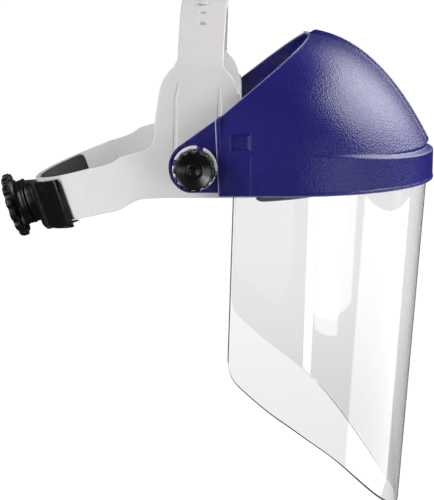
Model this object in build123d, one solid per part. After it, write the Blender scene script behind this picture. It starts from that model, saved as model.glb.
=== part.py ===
from build123d import *
import math
import os

# Face shield: a crown protector with a wrap-around window, on a ratchet headgear.
# The origin is the middle of the head opening, PIVOT_HEIGHT below the visor's pivot axis.
# +X points forward out of the face, +Y to the wearer's left and +Z up. Millimetres.
# Every length called "out" is a distance from the middle plane, measured along Y.

# Crown protector
CROWN_HALF_WIDTH = 102.7
CROWN_CENTRE_X = 56.0
CROWN_WALL = 2.0
RIM_BOTTOM = -16.0
RIM_TOP = 8.0
DOME_TOP = 81.8
DOME_HALF_WIDTH = 101.5
DOME_REACH = 98.0
SIDE_POWER = 2.5
FRONT_POWER = 0.39
DOME_LEVELS = (0.0, 0.12, 0.27, 0.43, 0.59, 0.73, 0.85, 0.94, 0.985)
REAR_EDGE_LOW = (12.8, 31.5)
REAR_EDGE_HIGH = (85.0, 90.2)
RIB_HALF_WIDTH = 5.0
RIB_RISE = 2.6
RECESS_PLACE = (28.2, 18.1)
RECESS_SIZE = (12.4, 9.6)
RECESS_DEPTH = 0.8

# Pivot tabs of the crown
TAB_OUT = 99.0
TAB_THICKNESS = 2.6
TAB_RADIUS = 16.5
TAB_STEP_X = 15.2
TAB_STEP_WIDTH = 4.0
TAB_NECK = ((-9.8, 15.3), (15.5, 34.0), (19.2, 30.0), (19.2, -13.7), (2.0, -13.7))
TAB_BOSS_RADIUS = 11.0
TOOTH_ANGLES = (75, 165, 255, 345)
TOOTH_SIZE = (3.8, 3.6, 3.4)
TOOTH_PLACE = 12.1

# Window
WINDOW_THICKNESS = 2.0
WINDOW_CENTRE_X = 55.5
WINDOW_TOP = -3.0
WINDOW_BOTTOM = -243.0
WINDOW_TOP_RADIUS = 100.0
WINDOW_SIDE_LEAN = 0.024
WINDOW_FRONT_LEAN = 0.063
WINDOW_REAR_TOP_X = 24.0
WINDOW_CORNER = (20.4, -122.0)
WINDOW_SWEEP = ((22.4, -132.5), (28, -140.5), (46.5, -157), (68, -173), (93, -194), (122, -226.5))
WINDOW_CHIN_X = 137.0
STUD_RADIUS = 2.4
STUD_LENGTH = 4.6
STUD_HEIGHT = -9.5
STUD_ANGLES = (-76, -38, 0, 38, 76)

# Headband
BAND_OUT = 87.5
BAND_WALL = 2.5
BAND_CENTRE_X = 12.0
BAND_BOTTOM = -19.0
BAND_TOP = 12.0
BOSS_OUT = 92.0
BOSS_RADIUS = 8.0
ARM_OUTLINE = (
    (-20, 12), (-36.3, 10), (-47.3, 6.8), (-52.8, 3), (-66.0, -1.0), (-100, -12.2),
    (-100, -44), (-67, -33.2), (-55, -30.7), (-48.6, -28), (-36, -20), (-20, -19),
)
REAR_SLIT = ((-13.6, 8), (-11.6, 8), (-11.8, 42), (-10.3, 52.9), (-10.8, 52.9), (-13.2, 42))
FRONT_SLIT = ((14.1, 8), (16.4, 8), (15.9, 39.8), (15.0, 50.4), (14.7, 50.4), (14.1, 39.8))

# Sweatband
PAD_THICKNESS = 4.0
PAD_HEM = 1.2
PAD_HEM_TOP = -9.0
PAD_BACK_X = 39.0

# Rear of the headgear: it hangs in a frame that is tilted back and down
REAR_TILT = 18.5
REAR_ORIGIN = (-30.0, 0.0, -5.0)
REAR_REACH = 82.0
STRAP_HALF_HEIGHT = 15.2
STRAP_THICKNESS = 1.6
STRAP_PAST_MIDDLE = 44.0
SEAM = 33.7

# Overhead strap: two halves of the band's moulding that lap over the top of the head
OVERHEAD_RADIUS = 110.0
OVERHEAD_CENTRE_Z = -9.1
OVERHEAD_THICKNESS = 1.5
OVERHEAD_LAP = 34.0
OVERHEAD_BACK = -11.7
OVERHEAD_FRONT = 18.6
OVERHEAD_MIDDLE = 3.8
OVERHEAD_HALF_LENGTH = 60.0
LOOP_REAR = (-23.2, 45.6)
LOOP_FRONT = (26.9, 44.0)
FOOT_HEIGHT = 50.0
FOLD_OUT = 83.4
FOLD_HEIGHT = 65.6
ARC_FOOT = 70.0
HOLE_SPACING = 7.5
FIRST_HOLE = -29.6
HOLE_COUNT = 6
PEG_TURNS = (-14.6, -7.1)
PEG_RADIUS = 2.0
PEG_CAP_RADIUS = 3.2

# Pivot hardware
PIVOT_HEIGHT = 2.0
BOLT_RADIUS = 3.0
BOLT_CLEARANCE = 0.06
KNOB_FOOT_OUT = 103.3
KNOB_FACE_OUT = 118.0
KNOB_RADIUS = 12.9
KNOB_SCALLOPS = 14
RING_RADIUS = 13.9

# Ratchet
PINION_TEETH = 10
PITCH_RADIUS = 6.0
TOOTH_HEIGHT = 1.2
RACK_PITCH = 2 * math.pi * PITCH_RADIUS / PINION_TEETH
RACK_TEETH = 20
GEAR_LOW = 78.7
GEAR_HIGH = 83.2
HOUSING_HALF_SPAN = 61.0
COVER_HALF_SPAN = 59.0
HOUSING_DROP = 3.8
CASE_RADIUS = 15.6
CASE_TOP = 13.8
CASE_BACK = 92.0
COLLAR_WIDTH = 5.5
RIB_PLACE = 31.0
JOURNAL_RADIUS = 2.14
WHEEL_RADIUS = 8.2
WHEEL_NOTCHES = 20
HUB_HOLE_RADIUS = 1.3
RATCHET_KNOB_RADIUS = 22.3
RATCHET_KNOB_RIM = (100.8, 105.2)
SPOOL_RADIUS = 15.5
COVER_IN = 82.2
SCREW_PLACES = (-24, 24)
SCREW_TIP = 81.0
SCREW_RADIUS = 1.2
SCREW_HEAD_RADIUS = 2.4
LOBES = 14

rear_frame = Plane(
    origin=REAR_ORIGIN,
    x_dir=(math.cos(math.radians(REAR_TILT)), 0, math.sin(math.radians(REAR_TILT))),
    z_dir=(-math.sin(math.radians(REAR_TILT)), 0, math.cos(math.radians(REAR_TILT))),
).location
left_side = Pos(0, 0, PIVOT_HEIGHT) * Rot(-90, 0, 0)
rear_axis = rear_frame * Rot(0, -90, 0)


def arch_face(half_width, reach, centre_x, back_x, height):
    """A flat D: straight sides from back_x, and a half ellipse ahead of centre_x."""
    right_side = Line((back_x, -half_width, height), (centre_x, -half_width, height))
    nose = Pos(0, 0, height) * EllipticalCenterArc((centre_x, 0), reach, half_width, -90, arc_size=180)
    left = Line((centre_x, half_width, height), (back_x, half_width, height))
    back = Line((back_x, half_width, height), (back_x, -half_width, height))
    return make_face([right_side, nose, left, back])


def arch_block(half_width, reach, centre_x, back_x, low, high):
    return extrude(arch_face(half_width, reach, centre_x, back_x, low), amount=high - low)


def side_prism(outline, low_out=None, high_out=130.0):
    """A side-view outline (X, Z) carried along Y: right across, or on the left side only."""
    face = make_face(outline)
    if low_out is None:
        return extrude(face, amount=high_out, both=True, dir=(0, 1, 0))
    return Pos(0, low_out, 0) * extrude(face, amount=high_out - low_out, dir=(0, 1, 0))


def side_polygon(*points):
    return Polyline(*[(x, 0, z) for x, z in points], close=True)


def disc(radius, low, high, x=0.0, y=0.0):
    """A cylinder on Z from low to high."""
    return Pos(x, y, (low + high) / 2) * Cylinder(radius, high - low)


def ring(outer, inner, low, high):
    return disc(outer, low, high) - disc(inner, low - 1, high + 1)


def turned(*profile):
    """A solid of revolution about Z, from its (radius, height) corners."""
    return revolve(make_face(Polyline(*[(r, 0, h) for r, h in profile], close=True)), Axis.Z)


def both_sides(piece):
    return piece + mirror(piece, Plane.XZ)


def write(piece, node):
    export_step(piece, f"parts/{node}.step")


def write_pair(left_piece, name):
    write(left_piece, f"{name}_left")
    write(mirror(left_piece, Plane.XZ), f"{name}_right")


# ---------------------------------------------------------------- crown protector

def dome(margin, rise, low):
    """The solid under the dome, shrunk by margin and lifted by rise."""
    sections = []
    for level in DOME_LEVELS:
        half_width = (DOME_HALF_WIDTH - margin) * (1 - level**SIDE_POWER) ** (1 / SIDE_POWER)
        reach = (DOME_REACH - margin + rise) * (1 - level) ** FRONT_POWER
        height = low + level * (DOME_TOP - margin + rise - low)
        sections.append(arch_face(half_width, reach, CROWN_CENTRE_X, -10.0, height))
    return loft(sections)


def crown_tab():
    """One pivot tab with its step, inner boss and ring teeth, on the left side."""
    plate = side_prism(side_polygon(*TAB_NECK), TAB_OUT - TAB_THICKNESS, TAB_OUT)
    plate += left_side * disc(TAB_RADIUS, TAB_OUT - TAB_THICKNESS, TAB_OUT)
    step_outline = side_polygon(
        (TAB_STEP_X, RIM_BOTTOM),
        (REAR_EDGE_LOW[0], REAR_EDGE_LOW[1]),
        (REAR_EDGE_LOW[0] + TAB_STEP_WIDTH, REAR_EDGE_LOW[1] + 3.2),
        (TAB_STEP_X + TAB_STEP_WIDTH, RIM_BOTTOM),
    )
    step = side_prism(step_outline, TAB_OUT - TAB_THICKNESS, CROWN_HALF_WIDTH - 0.6)
    boss = left_side * disc(TAB_BOSS_RADIUS, BOSS_OUT + 1.9, TAB_OUT)
    teeth = [
        left_side * Rot(0, 0, -angle) * Pos(TOOTH_PLACE, 0, TAB_OUT + TOOTH_SIZE[2] / 2)
        * Box(*TOOTH_SIZE)
        for angle in TOOTH_ANGLES
    ]
    bore = left_side * disc(BOLT_RADIUS + BOLT_CLEARANCE, 80, 120)
    return plate + step + boss + teeth - bore


def crown_protector():
    width = CROWN_HALF_WIDTH
    wall = CROWN_WALL
    centre = CROWN_CENTRE_X
    outside = arch_block(width, width, centre, -10, RIM_BOTTOM, RIM_TOP) + dome(0, 0, RIM_TOP)
    inside = arch_block(width - wall, width - wall, centre, -20, RIM_BOTTOM - 1, RIM_TOP - wall)
    inside += dome(wall, 0, RIM_TOP - wall)
    rib = dome(0, RIB_RISE, RIM_TOP - 2) & Pos(80, 0, 50) * Box(200, 2 * RIB_HALF_WIDTH, 120)
    keep = side_polygon(
        (TAB_STEP_X, RIM_BOTTOM - 5), REAR_EDGE_LOW, REAR_EDGE_HIGH,
        (centre + 120, REAR_EDGE_HIGH[1]), (centre + 120, RIM_BOTTOM - 5),
    )
    shell = (outside + rib - inside) & side_prism(keep)
    recess_at = Pos(RECESS_PLACE[0], 0, RECESS_PLACE[1])
    recess_floor = recess_at * Box(RECESS_SIZE[0], 2 * (width - RECESS_DEPTH), RECESS_SIZE[1])
    shell -= recess_at * Box(RECESS_SIZE[0], 300, RECESS_SIZE[1]) - recess_floor
    studs = [
        Pos(centre, 0, STUD_HEIGHT) * Rot(0, 0, angle) * Rot(0, 90, 0)
        * disc(STUD_RADIUS, width - wall - STUD_LENGTH, width - wall + 0.5)
        for angle in STUD_ANGLES
    ]
    return shell + studs + both_sides(crown_tab())


# ---------------------------------------------------------------- window

def window_cone(shrink):
    depth = WINDOW_TOP - WINDOW_BOTTOM
    top = WINDOW_TOP_RADIUS - shrink
    low_half_width = top - WINDOW_SIDE_LEAN * depth
    low_reach = top - WINDOW_FRONT_LEAN * depth
    sections = [
        arch_face(low_half_width, low_reach, WINDOW_CENTRE_X, -5.0, WINDOW_BOTTOM),
        arch_face(top, top, WINDOW_CENTRE_X, -5.0, WINDOW_TOP),
    ]
    return loft(sections, ruled=True)


def window_outline():
    """Side view: near-vertical rear edge, rounded corner and an S-shaped lower edge."""
    top_rear = (WINDOW_REAR_TOP_X, 0, WINDOW_TOP)
    corner = (WINDOW_CORNER[0], 0, WINDOW_CORNER[1])
    chin = (WINDOW_CHIN_X, 0, WINDOW_BOTTOM + 0.6)
    rear = Line(top_rear, corner)
    lower = Spline(corner, *[(x, 0, z) for x, z in WINDOW_SWEEP], chin)
    far = Polyline(chin, (170, 0, WINDOW_BOTTOM + 0.6), (170, 0, WINDOW_TOP), top_rear)
    return [rear, lower, far]


def window():
    sheet = window_cone(0) - window_cone(WINDOW_THICKNESS)
    sheet = sheet & side_prism(window_outline())
    holes = [
        Pos(CROWN_CENTRE_X, 0, STUD_HEIGHT) * Rot(0, 0, angle) * Rot(0, 90, 0)
        * disc(STUD_RADIUS + 0.2, 80, 115)
        for angle in STUD_ANGLES
    ]
    return sheet - holes


# ---------------------------------------------------------------- headband and straps

def band_wall(outer, inner, low, high, back_x=REAR_ORIGIN[0]):
    """Part of the band ahead of back_x: a vertical wall between two outward distances."""
    block = arch_block(outer, outer, BAND_CENTRE_X, back_x, low, high)
    return block - arch_block(inner, inner, BAND_CENTRE_X, back_x - 5, low - 1, high + 1)


def rear_wall(outer, inner, low, high):
    """The band round the back of the head, in the rear frame: a half ellipse behind X = 0."""
    reach = REAR_REACH - BAND_OUT
    block = arch_block(outer, outer + reach, 0, -18, low, high)
    hollow = arch_block(inner, inner + reach, 0, -25, low - 1, high + 1)
    return Rot(0, 0, 180) * (block - hollow)


def loop_outline(top):
    """Side view of the strap loop: a plate with round shoulders that narrows to the strap."""
    rear_top = (OVERHEAD_BACK, 0, 64.2)
    front_top = (OVERHEAD_FRONT, 0, 62.8)
    rear = (LOOP_REAR[0], 0, LOOP_REAR[1])
    front = (LOOP_FRONT[0], 0, LOOP_FRONT[1])
    rear_shoulder = ThreePointArc(rear, (-19.0, 0, 57.3), rear_top)
    front_shoulder = ThreePointArc(front_top, (22.9, 0, 56.6), front)
    strap_end = Polyline(rear_top, (OVERHEAD_BACK, 0, top), (OVERHEAD_FRONT, 0, top), front_top)
    plate = Polyline(front, (28.8, 0, 38), (28.8, 0, 0), (-25.8, 0, 0), rear)
    return [rear_shoulder, strap_end, front_shoulder, plate]


def band_outline():
    """Side view of the moulded band: the brow strip, the strap loop and the rear arm."""
    brow = Pos(40, 0, (BAND_BOTTOM + BAND_TOP) / 2) * Box(142, 260, BAND_TOP - BAND_BOTTOM)
    arm = side_prism(side_polygon(*ARM_OUTLINE))
    return brow + side_prism(loop_outline(FOLD_HEIGHT + 10)) + arm


def lean_out(height):
    """How far out the strap loop's outer face is: it leans in from the band up to the fold."""
    rise = (height - BAND_TOP) / (FOLD_HEIGHT - BAND_TOP)
    return BAND_OUT + (FOLD_OUT - BAND_OUT) * rise


def leaning_block(shrink):
    """A block from the band's top to the fold, with the leaning face shrunk inwards."""
    low = BAND_OUT - shrink
    high = FOLD_OUT - shrink
    back = REAR_ORIGIN[0] - shrink
    sections = [
        arch_face(low, low, BAND_CENTRE_X, back, BAND_TOP),
        arch_face(high, high, BAND_CENTRE_X, back, FOLD_HEIGHT),
    ]
    return loft(sections, ruled=True)


def overhead_half(lift):
    """The left half of the overhead strap: a foot in the loop, a fold and a long arc."""
    inner = OVERHEAD_RADIUS + lift
    outer = inner + OVERHEAD_THICKNESS
    length = OVERHEAD_HALF_LENGTH
    arc = Pos(0, 0, OVERHEAD_CENTRE_Z) * Rot(0, 90, 0) * ring(outer, inner, -length, length)
    over_fold = Pos(0, 65 - OVERHEAD_LAP, ARC_FOOT + 50) * Box(200, 130, 100)
    arc = arc & over_fold
    leave = math.sqrt(outer**2 - (ARC_FOOT - OVERHEAD_CENTRE_Z) ** 2)
    enter = math.sqrt(inner**2 - (ARC_FOOT - OVERHEAD_CENTRE_Z) ** 2)
    foot_out = lean_out(FOOT_HEIGHT)
    corners = [
        (foot_out - OVERHEAD_THICKNESS, FOOT_HEIGHT), (foot_out, FOOT_HEIGHT),
        (FOLD_OUT, FOLD_HEIGHT), (leave, ARC_FOOT), (enter, ARC_FOOT),
        (FOLD_OUT - OVERHEAD_THICKNESS, FOLD_HEIGHT - 0.7),
    ]
    foot_face = make_face(Polyline(*[(0, y, z) for y, z in corners], close=True))
    foot = extrude(foot_face, amount=length, both=True, dir=(1, 0, 0))
    return (arc + foot) & side_prism(loop_outline(130))


def overhead_pins(radius, low, high, turns):
    """Radial pins or holes through the arc, at turns in degrees from the top of the head."""
    hub = Pos(0, 0, OVERHEAD_CENTRE_Z)
    return [hub * Rot(-turn, 0, 0) * disc(radius, low, high, x=OVERHEAD_MIDDLE) for turn in turns]


def overhead_strap():
    """Left half below with two pegs; right half on top with a row of holes."""
    over = OVERHEAD_RADIUS + OVERHEAD_THICKNESS
    left = overhead_half(0.0)
    right = mirror(overhead_half(OVERHEAD_THICKNESS + 0.1), Plane.XZ)
    hole_turns = [FIRST_HOLE + HOLE_SPACING * step for step in range(HOLE_COUNT)]
    pegs = overhead_pins(PEG_RADIUS, over - 1.0, over + OVERHEAD_THICKNESS + 1.6, PEG_TURNS)
    caps = overhead_pins(PEG_CAP_RADIUS, over + OVERHEAD_THICKNESS + 0.4, over + 3.0, PEG_TURNS)
    return left + pegs + caps + (right - overhead_pins(PEG_RADIUS + 0.3, over - 8, over + 8, hole_turns))


def headband():
    """The whole pale moulding: brow strip, strap loops, rear arms and overhead strap."""
    front = band_wall(BAND_OUT, BAND_OUT - BAND_WALL, BAND_BOTTOM - 20, BAND_TOP)
    front += leaning_block(0) - leaning_block(BAND_WALL)
    arms = rear_frame * (
        rear_wall(BAND_OUT, BAND_OUT - BAND_WALL, -60, 60)
        & Pos(20 - SEAM, 0, 0) * Box(40, 260, 160)
    )
    arms = arms & Pos(REAR_ORIGIN[0] - 50, 0, 0) * Box(100, 260, 200)
    band = (front + arms) & band_outline()
    slits = side_prism(side_polygon(*REAR_SLIT), 75) + side_prism(side_polygon(*FRONT_SLIT), 75)
    boss = left_side * disc(BOSS_RADIUS, BAND_OUT - BAND_WALL, BOSS_OUT)
    bore = left_side * disc(BOLT_RADIUS + BOLT_CLEARANCE, 80, 100)
    band = band - both_sides(slits) + both_sides(boss) - both_sides(bore)
    return band + overhead_strap()


def rack_slot(side, depth_low, depth_high):
    """A strap's slot with rack teeth on its upper (side 1) or lower (side -1) edge."""
    root = PITCH_RADIUS + TOOTH_HEIGHT + 0.4
    plain = PITCH_RADIUS + TOOTH_HEIGHT + 0.8
    half_length = (RACK_TEETH + 1) / 2 * RACK_PITCH
    height = root + plain
    centre = side * (root - plain) / 2
    slot = Pos((depth_low + depth_high) / 2, 0, centre) * Box(
        depth_high - depth_low, 2 * half_length, height
    )
    tip = PITCH_RADIUS - TOOTH_HEIGHT
    for step in range(RACK_TEETH):
        middle = (step + 0.5 - RACK_TEETH / 2) * RACK_PITCH
        corners = [
            (middle - 1.25, root + 0.5), (middle - 0.35, tip),
            (middle + 0.35, tip), (middle + 1.25, root + 0.5),
        ]
        outline = Polyline(*[(depth_low, y, side * z) for y, z in corners], close=True)
        slot -= extrude(make_face(outline), amount=depth_high - depth_low, dir=(1, 0, 0))
    return slot


def rear_strap(outward, side):
    """One flexible rear strap in the rear frame, on the left, from the seam past the middle."""
    wall = rear_wall(outward, outward - STRAP_THICKNESS, -STRAP_HALF_HEIGHT, STRAP_HALF_HEIGHT)
    span = 130.0
    reach = REAR_REACH + 10
    keep = Pos(-(SEAM + reach) / 2, (span - STRAP_PAST_MIDDLE) / 2, 0) * Box(
        reach - SEAM, span + STRAP_PAST_MIDDLE, 80
    )
    depth = -(REAR_REACH + 6)
    slot = rack_slot(side, depth, depth + 24)
    return rear_frame * (wall & keep) - rear_frame * slot


def brow_pad():
    """A folded sweatband: foam behind the brow strip, wrapped under its lower edge."""
    inside = BAND_OUT - BAND_WALL
    bottom = BAND_BOTTOM - 3.0
    top = BAND_TOP + 1.0
    pad = band_wall(BAND_OUT + PAD_HEM, inside - PAD_THICKNESS, bottom, top)
    pad -= band_wall(BAND_OUT, inside, BAND_BOTTOM, top + 5)
    pad -= band_wall(BAND_OUT + 5, BAND_OUT, PAD_HEM_TOP, top + 5)
    return pad & Pos(PAD_BACK_X + 50, 0, 0) * Box(100, 260, 100)


# ---------------------------------------------------------------- pivot hardware

def pivot_bolt():
    inside = BAND_OUT - BAND_WALL
    head = turned((0, inside - 2.0), (5.5, inside - 1.6), (8.0, inside), (0, inside))
    return left_side * (head + disc(BOLT_RADIUS, inside - 1, 111.5))


def friction_washer():
    return left_side * ring(11.0, BOLT_RADIUS + 0.3, BOSS_OUT + 0.2, BOSS_OUT + 1.6)


def detent_ring():
    body = ring(RING_RADIUS, 9.0, TAB_OUT + 0.1, KNOB_FOOT_OUT - 0.3)
    notch = Pos(13, 0, TAB_OUT + 3) * Box(6, TOOTH_SIZE[1] + 0.4, 8)
    notches = [Rot(0, 0, -angle) * notch for angle in TOOTH_ANGLES]
    return left_side * (body - notches)


def side_knob():
    foot = KNOB_FOOT_OUT
    face = KNOB_FACE_OUT
    body = turned(
        (0, foot), (12.6, foot), (KNOB_RADIUS, foot + 4), (KNOB_RADIUS, face - 1.2), (12.2, face),
        (10.9, face), (6.0, face - 3.4), (4.9, face - 3.6), (4.4, face - 2.2), (0, face - 2.2),
    )
    scallop = disc(1.7, foot + 4, face + 1, x=KNOB_RADIUS + 0.7)
    body -= [Rot(0, 0, 360 / KNOB_SCALLOPS * step) * scallop for step in range(KNOB_SCALLOPS)]
    body -= disc(4.2, foot - 1, foot + 8.2)
    body -= disc(BOLT_RADIUS + 0.3, foot - 1, foot + 9.2)
    body -= disc(1.5, foot + 9, face)
    return left_side * body


def knob_insert():
    foot = KNOB_FOOT_OUT
    return left_side * ring(4.2, BOLT_RADIUS + BOLT_CLEARANCE, foot + 0.4, foot + 8.2)


# ---------------------------------------------------------------- ratchet adjuster

def housing_span(outer, inner, low, high, half_span):
    """A length of wall that follows the straps, cut off at half_span each side."""
    wall = rear_wall(outer, inner, low, high)
    return wall & Pos(-(40 + 60), 0, 0) * Box(120, 2 * half_span, 120)


def wall_depth(outward, y):
    """How far behind the rear frame's origin a wall lies at a given Y."""
    return (REAR_REACH - BAND_OUT + outward) * math.sqrt(1 - (y / outward) ** 2)


def ratchet_housing():
    """The outer casing: a wing round the nape, a round gear case, two ribs and two end collars."""
    half = STRAP_HALF_HEIGHT
    low = -half - HOUSING_DROP
    span = HOUSING_HALF_SPAN
    casing = housing_span(BAND_OUT + 3.0, BAND_OUT + 0.3, low, half - 0.4, span)
    casing += housing_span(BAND_OUT + 0.3, BAND_OUT - 4.2, -half - 1.6, -half - 0.3, span)
    case = Rot(0, -90, 0) * disc(CASE_RADIUS, 76, CASE_BACK)
    case &= Pos(-CASE_BACK, 0, CASE_TOP - 50) * Box(100, 100, 100)
    casing += case - Rot(0, 0, 180) * arch_block(BAND_OUT + 0.3, REAR_REACH + 0.3, 0, -5, -40, 40)
    collar = housing_span(BAND_OUT + 3.9, BAND_OUT + 2.5, low - 0.6, half - 0.1, span)
    casing += collar - Pos(-100, 0, 0) * Box(200, 2 * (span - COLLAR_WIDTH), 120)
    rib = housing_span(BAND_OUT + 3.6, BAND_OUT + 2.5, low, half - 0.4, RIB_PLACE + 1)
    casing += rib - Pos(-100, 0, 0) * Box(200, 2 * (RIB_PLACE - 1), 120)
    pocket = Rot(0, -90, 0) * disc(12.6, 83.6, 90.2)
    shaft_hole = Rot(0, -90, 0) * disc(8.6, 80, 100)
    screw_holes = [
        Pos(0, y, 0) * Rot(0, -90, 0) * disc(SCREW_RADIUS + 0.05, 76, SCREW_TIP + 0.2) for y in SCREW_PLACES
    ]
    return rear_frame * (casing - pocket - shaft_hole - screw_holes)


def ratchet_cover():
    """The inner cover against the neck: a thin wall with rounded ends."""
    half = STRAP_HALF_HEIGHT
    outer = BAND_OUT - 2 * STRAP_THICKNESS - 0.5
    cover = housing_span(outer, COVER_IN, -half - 0.2, half - 0.6, COVER_HALF_SPAN)
    journal = Rot(0, -90, 0) * disc(JOURNAL_RADIUS + 0.06, 70, 90)
    screw_holes = [Pos(0, y, 0) * Rot(0, -90, 0) * disc(SCREW_RADIUS + 0.3, 60, 90) for y in SCREW_PLACES]
    return rear_frame * (cover - journal - screw_holes)


def cover_screws():
    """Two small screws that close the housing through the straps' slots."""
    seat = wall_depth(COVER_IN, SCREW_PLACES[1] + SCREW_HEAD_RADIUS) - 0.1
    screw = disc(SCREW_HEAD_RADIUS, seat - 1.2, seat) + disc(SCREW_RADIUS, seat - 0.5, SCREW_TIP)
    pair = [Pos(0, place, 0) * screw for place in SCREW_PLACES]
    return rear_axis * (pair[0] + pair[1])


def click_spring():
    """A C-shaped leaf in the gear case, with a nose that drops into the knob's wheel."""
    leaf = ring(12.4, 11.2, 84.2, 89.6) - Pos(-9, 0, 87) * Box(12, 9, 10)
    nose = Pos(10.4, 0, 86.9) * Box(2.6, 1.6, 5.0)
    return rear_axis * (leaf + nose)


def pinion():
    gear = disc(PITCH_RADIUS - TOOTH_HEIGHT - 0.2, GEAR_LOW, GEAR_HIGH)
    for step in range(PINION_TEETH):
        flank = [(4.0, 1.35), (PITCH_RADIUS, 0.85), (7.0, 0.4)]
        corners = [(x, -y) for x, y in flank] + flank[::-1]
        face = make_face(Polyline(*[(x, y, GEAR_LOW) for x, y in corners], close=True))
        tooth = extrude(face, amount=GEAR_HIGH - GEAR_LOW, dir=(0, 0, 1))
        gear += Rot(0, 0, 360 / PINION_TEETH * step) * tooth
    journal = disc(JOURNAL_RADIUS, 76.8, GEAR_LOW + 0.1)
    return rear_axis * (gear + journal - disc(HUB_HOLE_RADIUS, 70, 84) - hex_socket())


def hex_socket():
    """The drive hole that keys the pinion to the ratchet knob's stub."""
    return Pos(0, 0, 80.4) * extrude(RegularPolygon(3.0, 6), amount=4.0)


def ratchet_knob():
    low, high = RATCHET_KNOB_RIM
    body = turned(
        (0, 92.4), (SPOOL_RADIUS, 92.4), (SPOOL_RADIUS, 94.0), (14.4, 94.6), (14.4, 95.4),
        (15.2, 95.9), (15.6, 98.4), (19.5, low), (RATCHET_KNOB_RADIUS, low),
        (RATCHET_KNOB_RADIUS, high - 0.8), (20.6, high), (16.5, high), (14.5, high - 1.6), (0, high - 1.6),
    )
    notch = Pos(RATCHET_KNOB_RADIUS + 0.6, 0, (low + high) / 2) * Box(4.2, 3.9, 12)
    body -= [Rot(0, 0, 360 / LOBES * (step + 0.5)) * notch for step in range(LOBES)]
    wheel = disc(WHEEL_RADIUS, 84.4, 93)
    notch = disc(1.0, 84, 92, x=WHEEL_RADIUS + 0.8)
    wheel -= [Rot(0, 0, 360 / WHEEL_NOTCHES * step) * notch for step in range(WHEEL_NOTCHES)]
    stub = Pos(0, 0, 80.6) * extrude(RegularPolygon(2.9, 6), amount=4.5)
    screw_hole = disc(SCREW_RADIUS + 0.05, 79, 90)
    return rear_axis * (body + wheel + stub - screw_hole)


def knob_screw():
    """The screw that pulls the ratchet knob and the pinion together from the neck side."""
    return rear_axis * (disc(1.9, 75.5, 76.7) + disc(SCREW_RADIUS, 76, 88))


os.makedirs("parts", exist_ok=True)

write(crown_protector(), "crown_protector")
write(window(), "window")
write(headband(), "headband")
write(brow_pad(), "brow_pad")
write(rear_strap(BAND_OUT, 1), "rear_strap_left")
write(mirror(rear_strap(BAND_OUT - STRAP_THICKNESS - 0.1, -1), Plane.XZ), "rear_strap_right")

write_pair(pivot_bolt(), "pivot_bolt")
write_pair(friction_washer(), "friction_washer")
write_pair(detent_ring(), "detent_ring")
write_pair(side_knob(), "side_knob")
write_pair(knob_insert(), "knob_insert")

write(ratchet_housing(), "ratchet_housing")
write(ratchet_cover(), "ratchet_cover")
write(cover_screws(), "cover_screws")
write(click_spring(), "click_spring")
write(pinion(), "pinion")
write(ratchet_knob(), "ratchet_knob")
write(knob_screw(), "knob_screw")
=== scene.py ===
import math

import bpy
import numpy as np
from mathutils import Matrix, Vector
from mathutils.geometry import delaunay_2d_cdt


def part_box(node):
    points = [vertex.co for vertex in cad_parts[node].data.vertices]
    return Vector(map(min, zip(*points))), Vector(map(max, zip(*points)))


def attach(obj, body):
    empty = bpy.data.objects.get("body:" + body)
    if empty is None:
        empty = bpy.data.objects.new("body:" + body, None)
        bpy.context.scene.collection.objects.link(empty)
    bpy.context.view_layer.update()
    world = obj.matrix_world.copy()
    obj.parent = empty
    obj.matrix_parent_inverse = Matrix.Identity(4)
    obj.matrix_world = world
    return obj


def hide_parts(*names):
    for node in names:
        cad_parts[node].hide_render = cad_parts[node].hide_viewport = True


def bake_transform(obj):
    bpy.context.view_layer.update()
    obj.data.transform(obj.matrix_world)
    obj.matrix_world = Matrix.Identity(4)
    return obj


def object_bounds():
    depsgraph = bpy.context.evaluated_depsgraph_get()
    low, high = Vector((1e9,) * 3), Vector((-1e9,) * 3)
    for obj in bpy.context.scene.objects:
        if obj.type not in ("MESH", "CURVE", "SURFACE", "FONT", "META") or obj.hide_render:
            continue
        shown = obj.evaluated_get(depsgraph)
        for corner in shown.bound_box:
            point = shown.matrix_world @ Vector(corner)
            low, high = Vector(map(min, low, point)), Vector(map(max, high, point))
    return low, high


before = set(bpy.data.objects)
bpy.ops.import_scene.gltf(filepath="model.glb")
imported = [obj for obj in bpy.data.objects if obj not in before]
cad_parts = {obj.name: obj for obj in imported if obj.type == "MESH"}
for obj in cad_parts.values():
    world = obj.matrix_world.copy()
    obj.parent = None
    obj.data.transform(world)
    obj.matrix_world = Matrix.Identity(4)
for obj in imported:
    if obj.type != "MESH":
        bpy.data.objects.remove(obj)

cad_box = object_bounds()

STUDIO_FILL = 0.17
STUDIO_REFLECTED = 0.07
BACKDROP = 1.04

# Lengths are in millimetres, in the frame's axes: +X forward, +Y to the wearer's left, +Z up.
# Pieces are scaled to metres when their mesh is made. "Out" is a distance from the middle plane.
MM = 0.001


def cad_edges(node):
    """Lowest and highest corner of a CAD node, in millimetres."""
    low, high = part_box(node)
    return low / MM, high / MM


crown_low, crown_high = cad_edges("crown_protector")
window_low, window_high = cad_edges("window")
knob_low, knob_high = cad_edges("side_knob_left")
pad_low, pad_high = cad_edges("brow_pad")
pivot_height = (knob_low.z + knob_high.z) / 2

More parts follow.
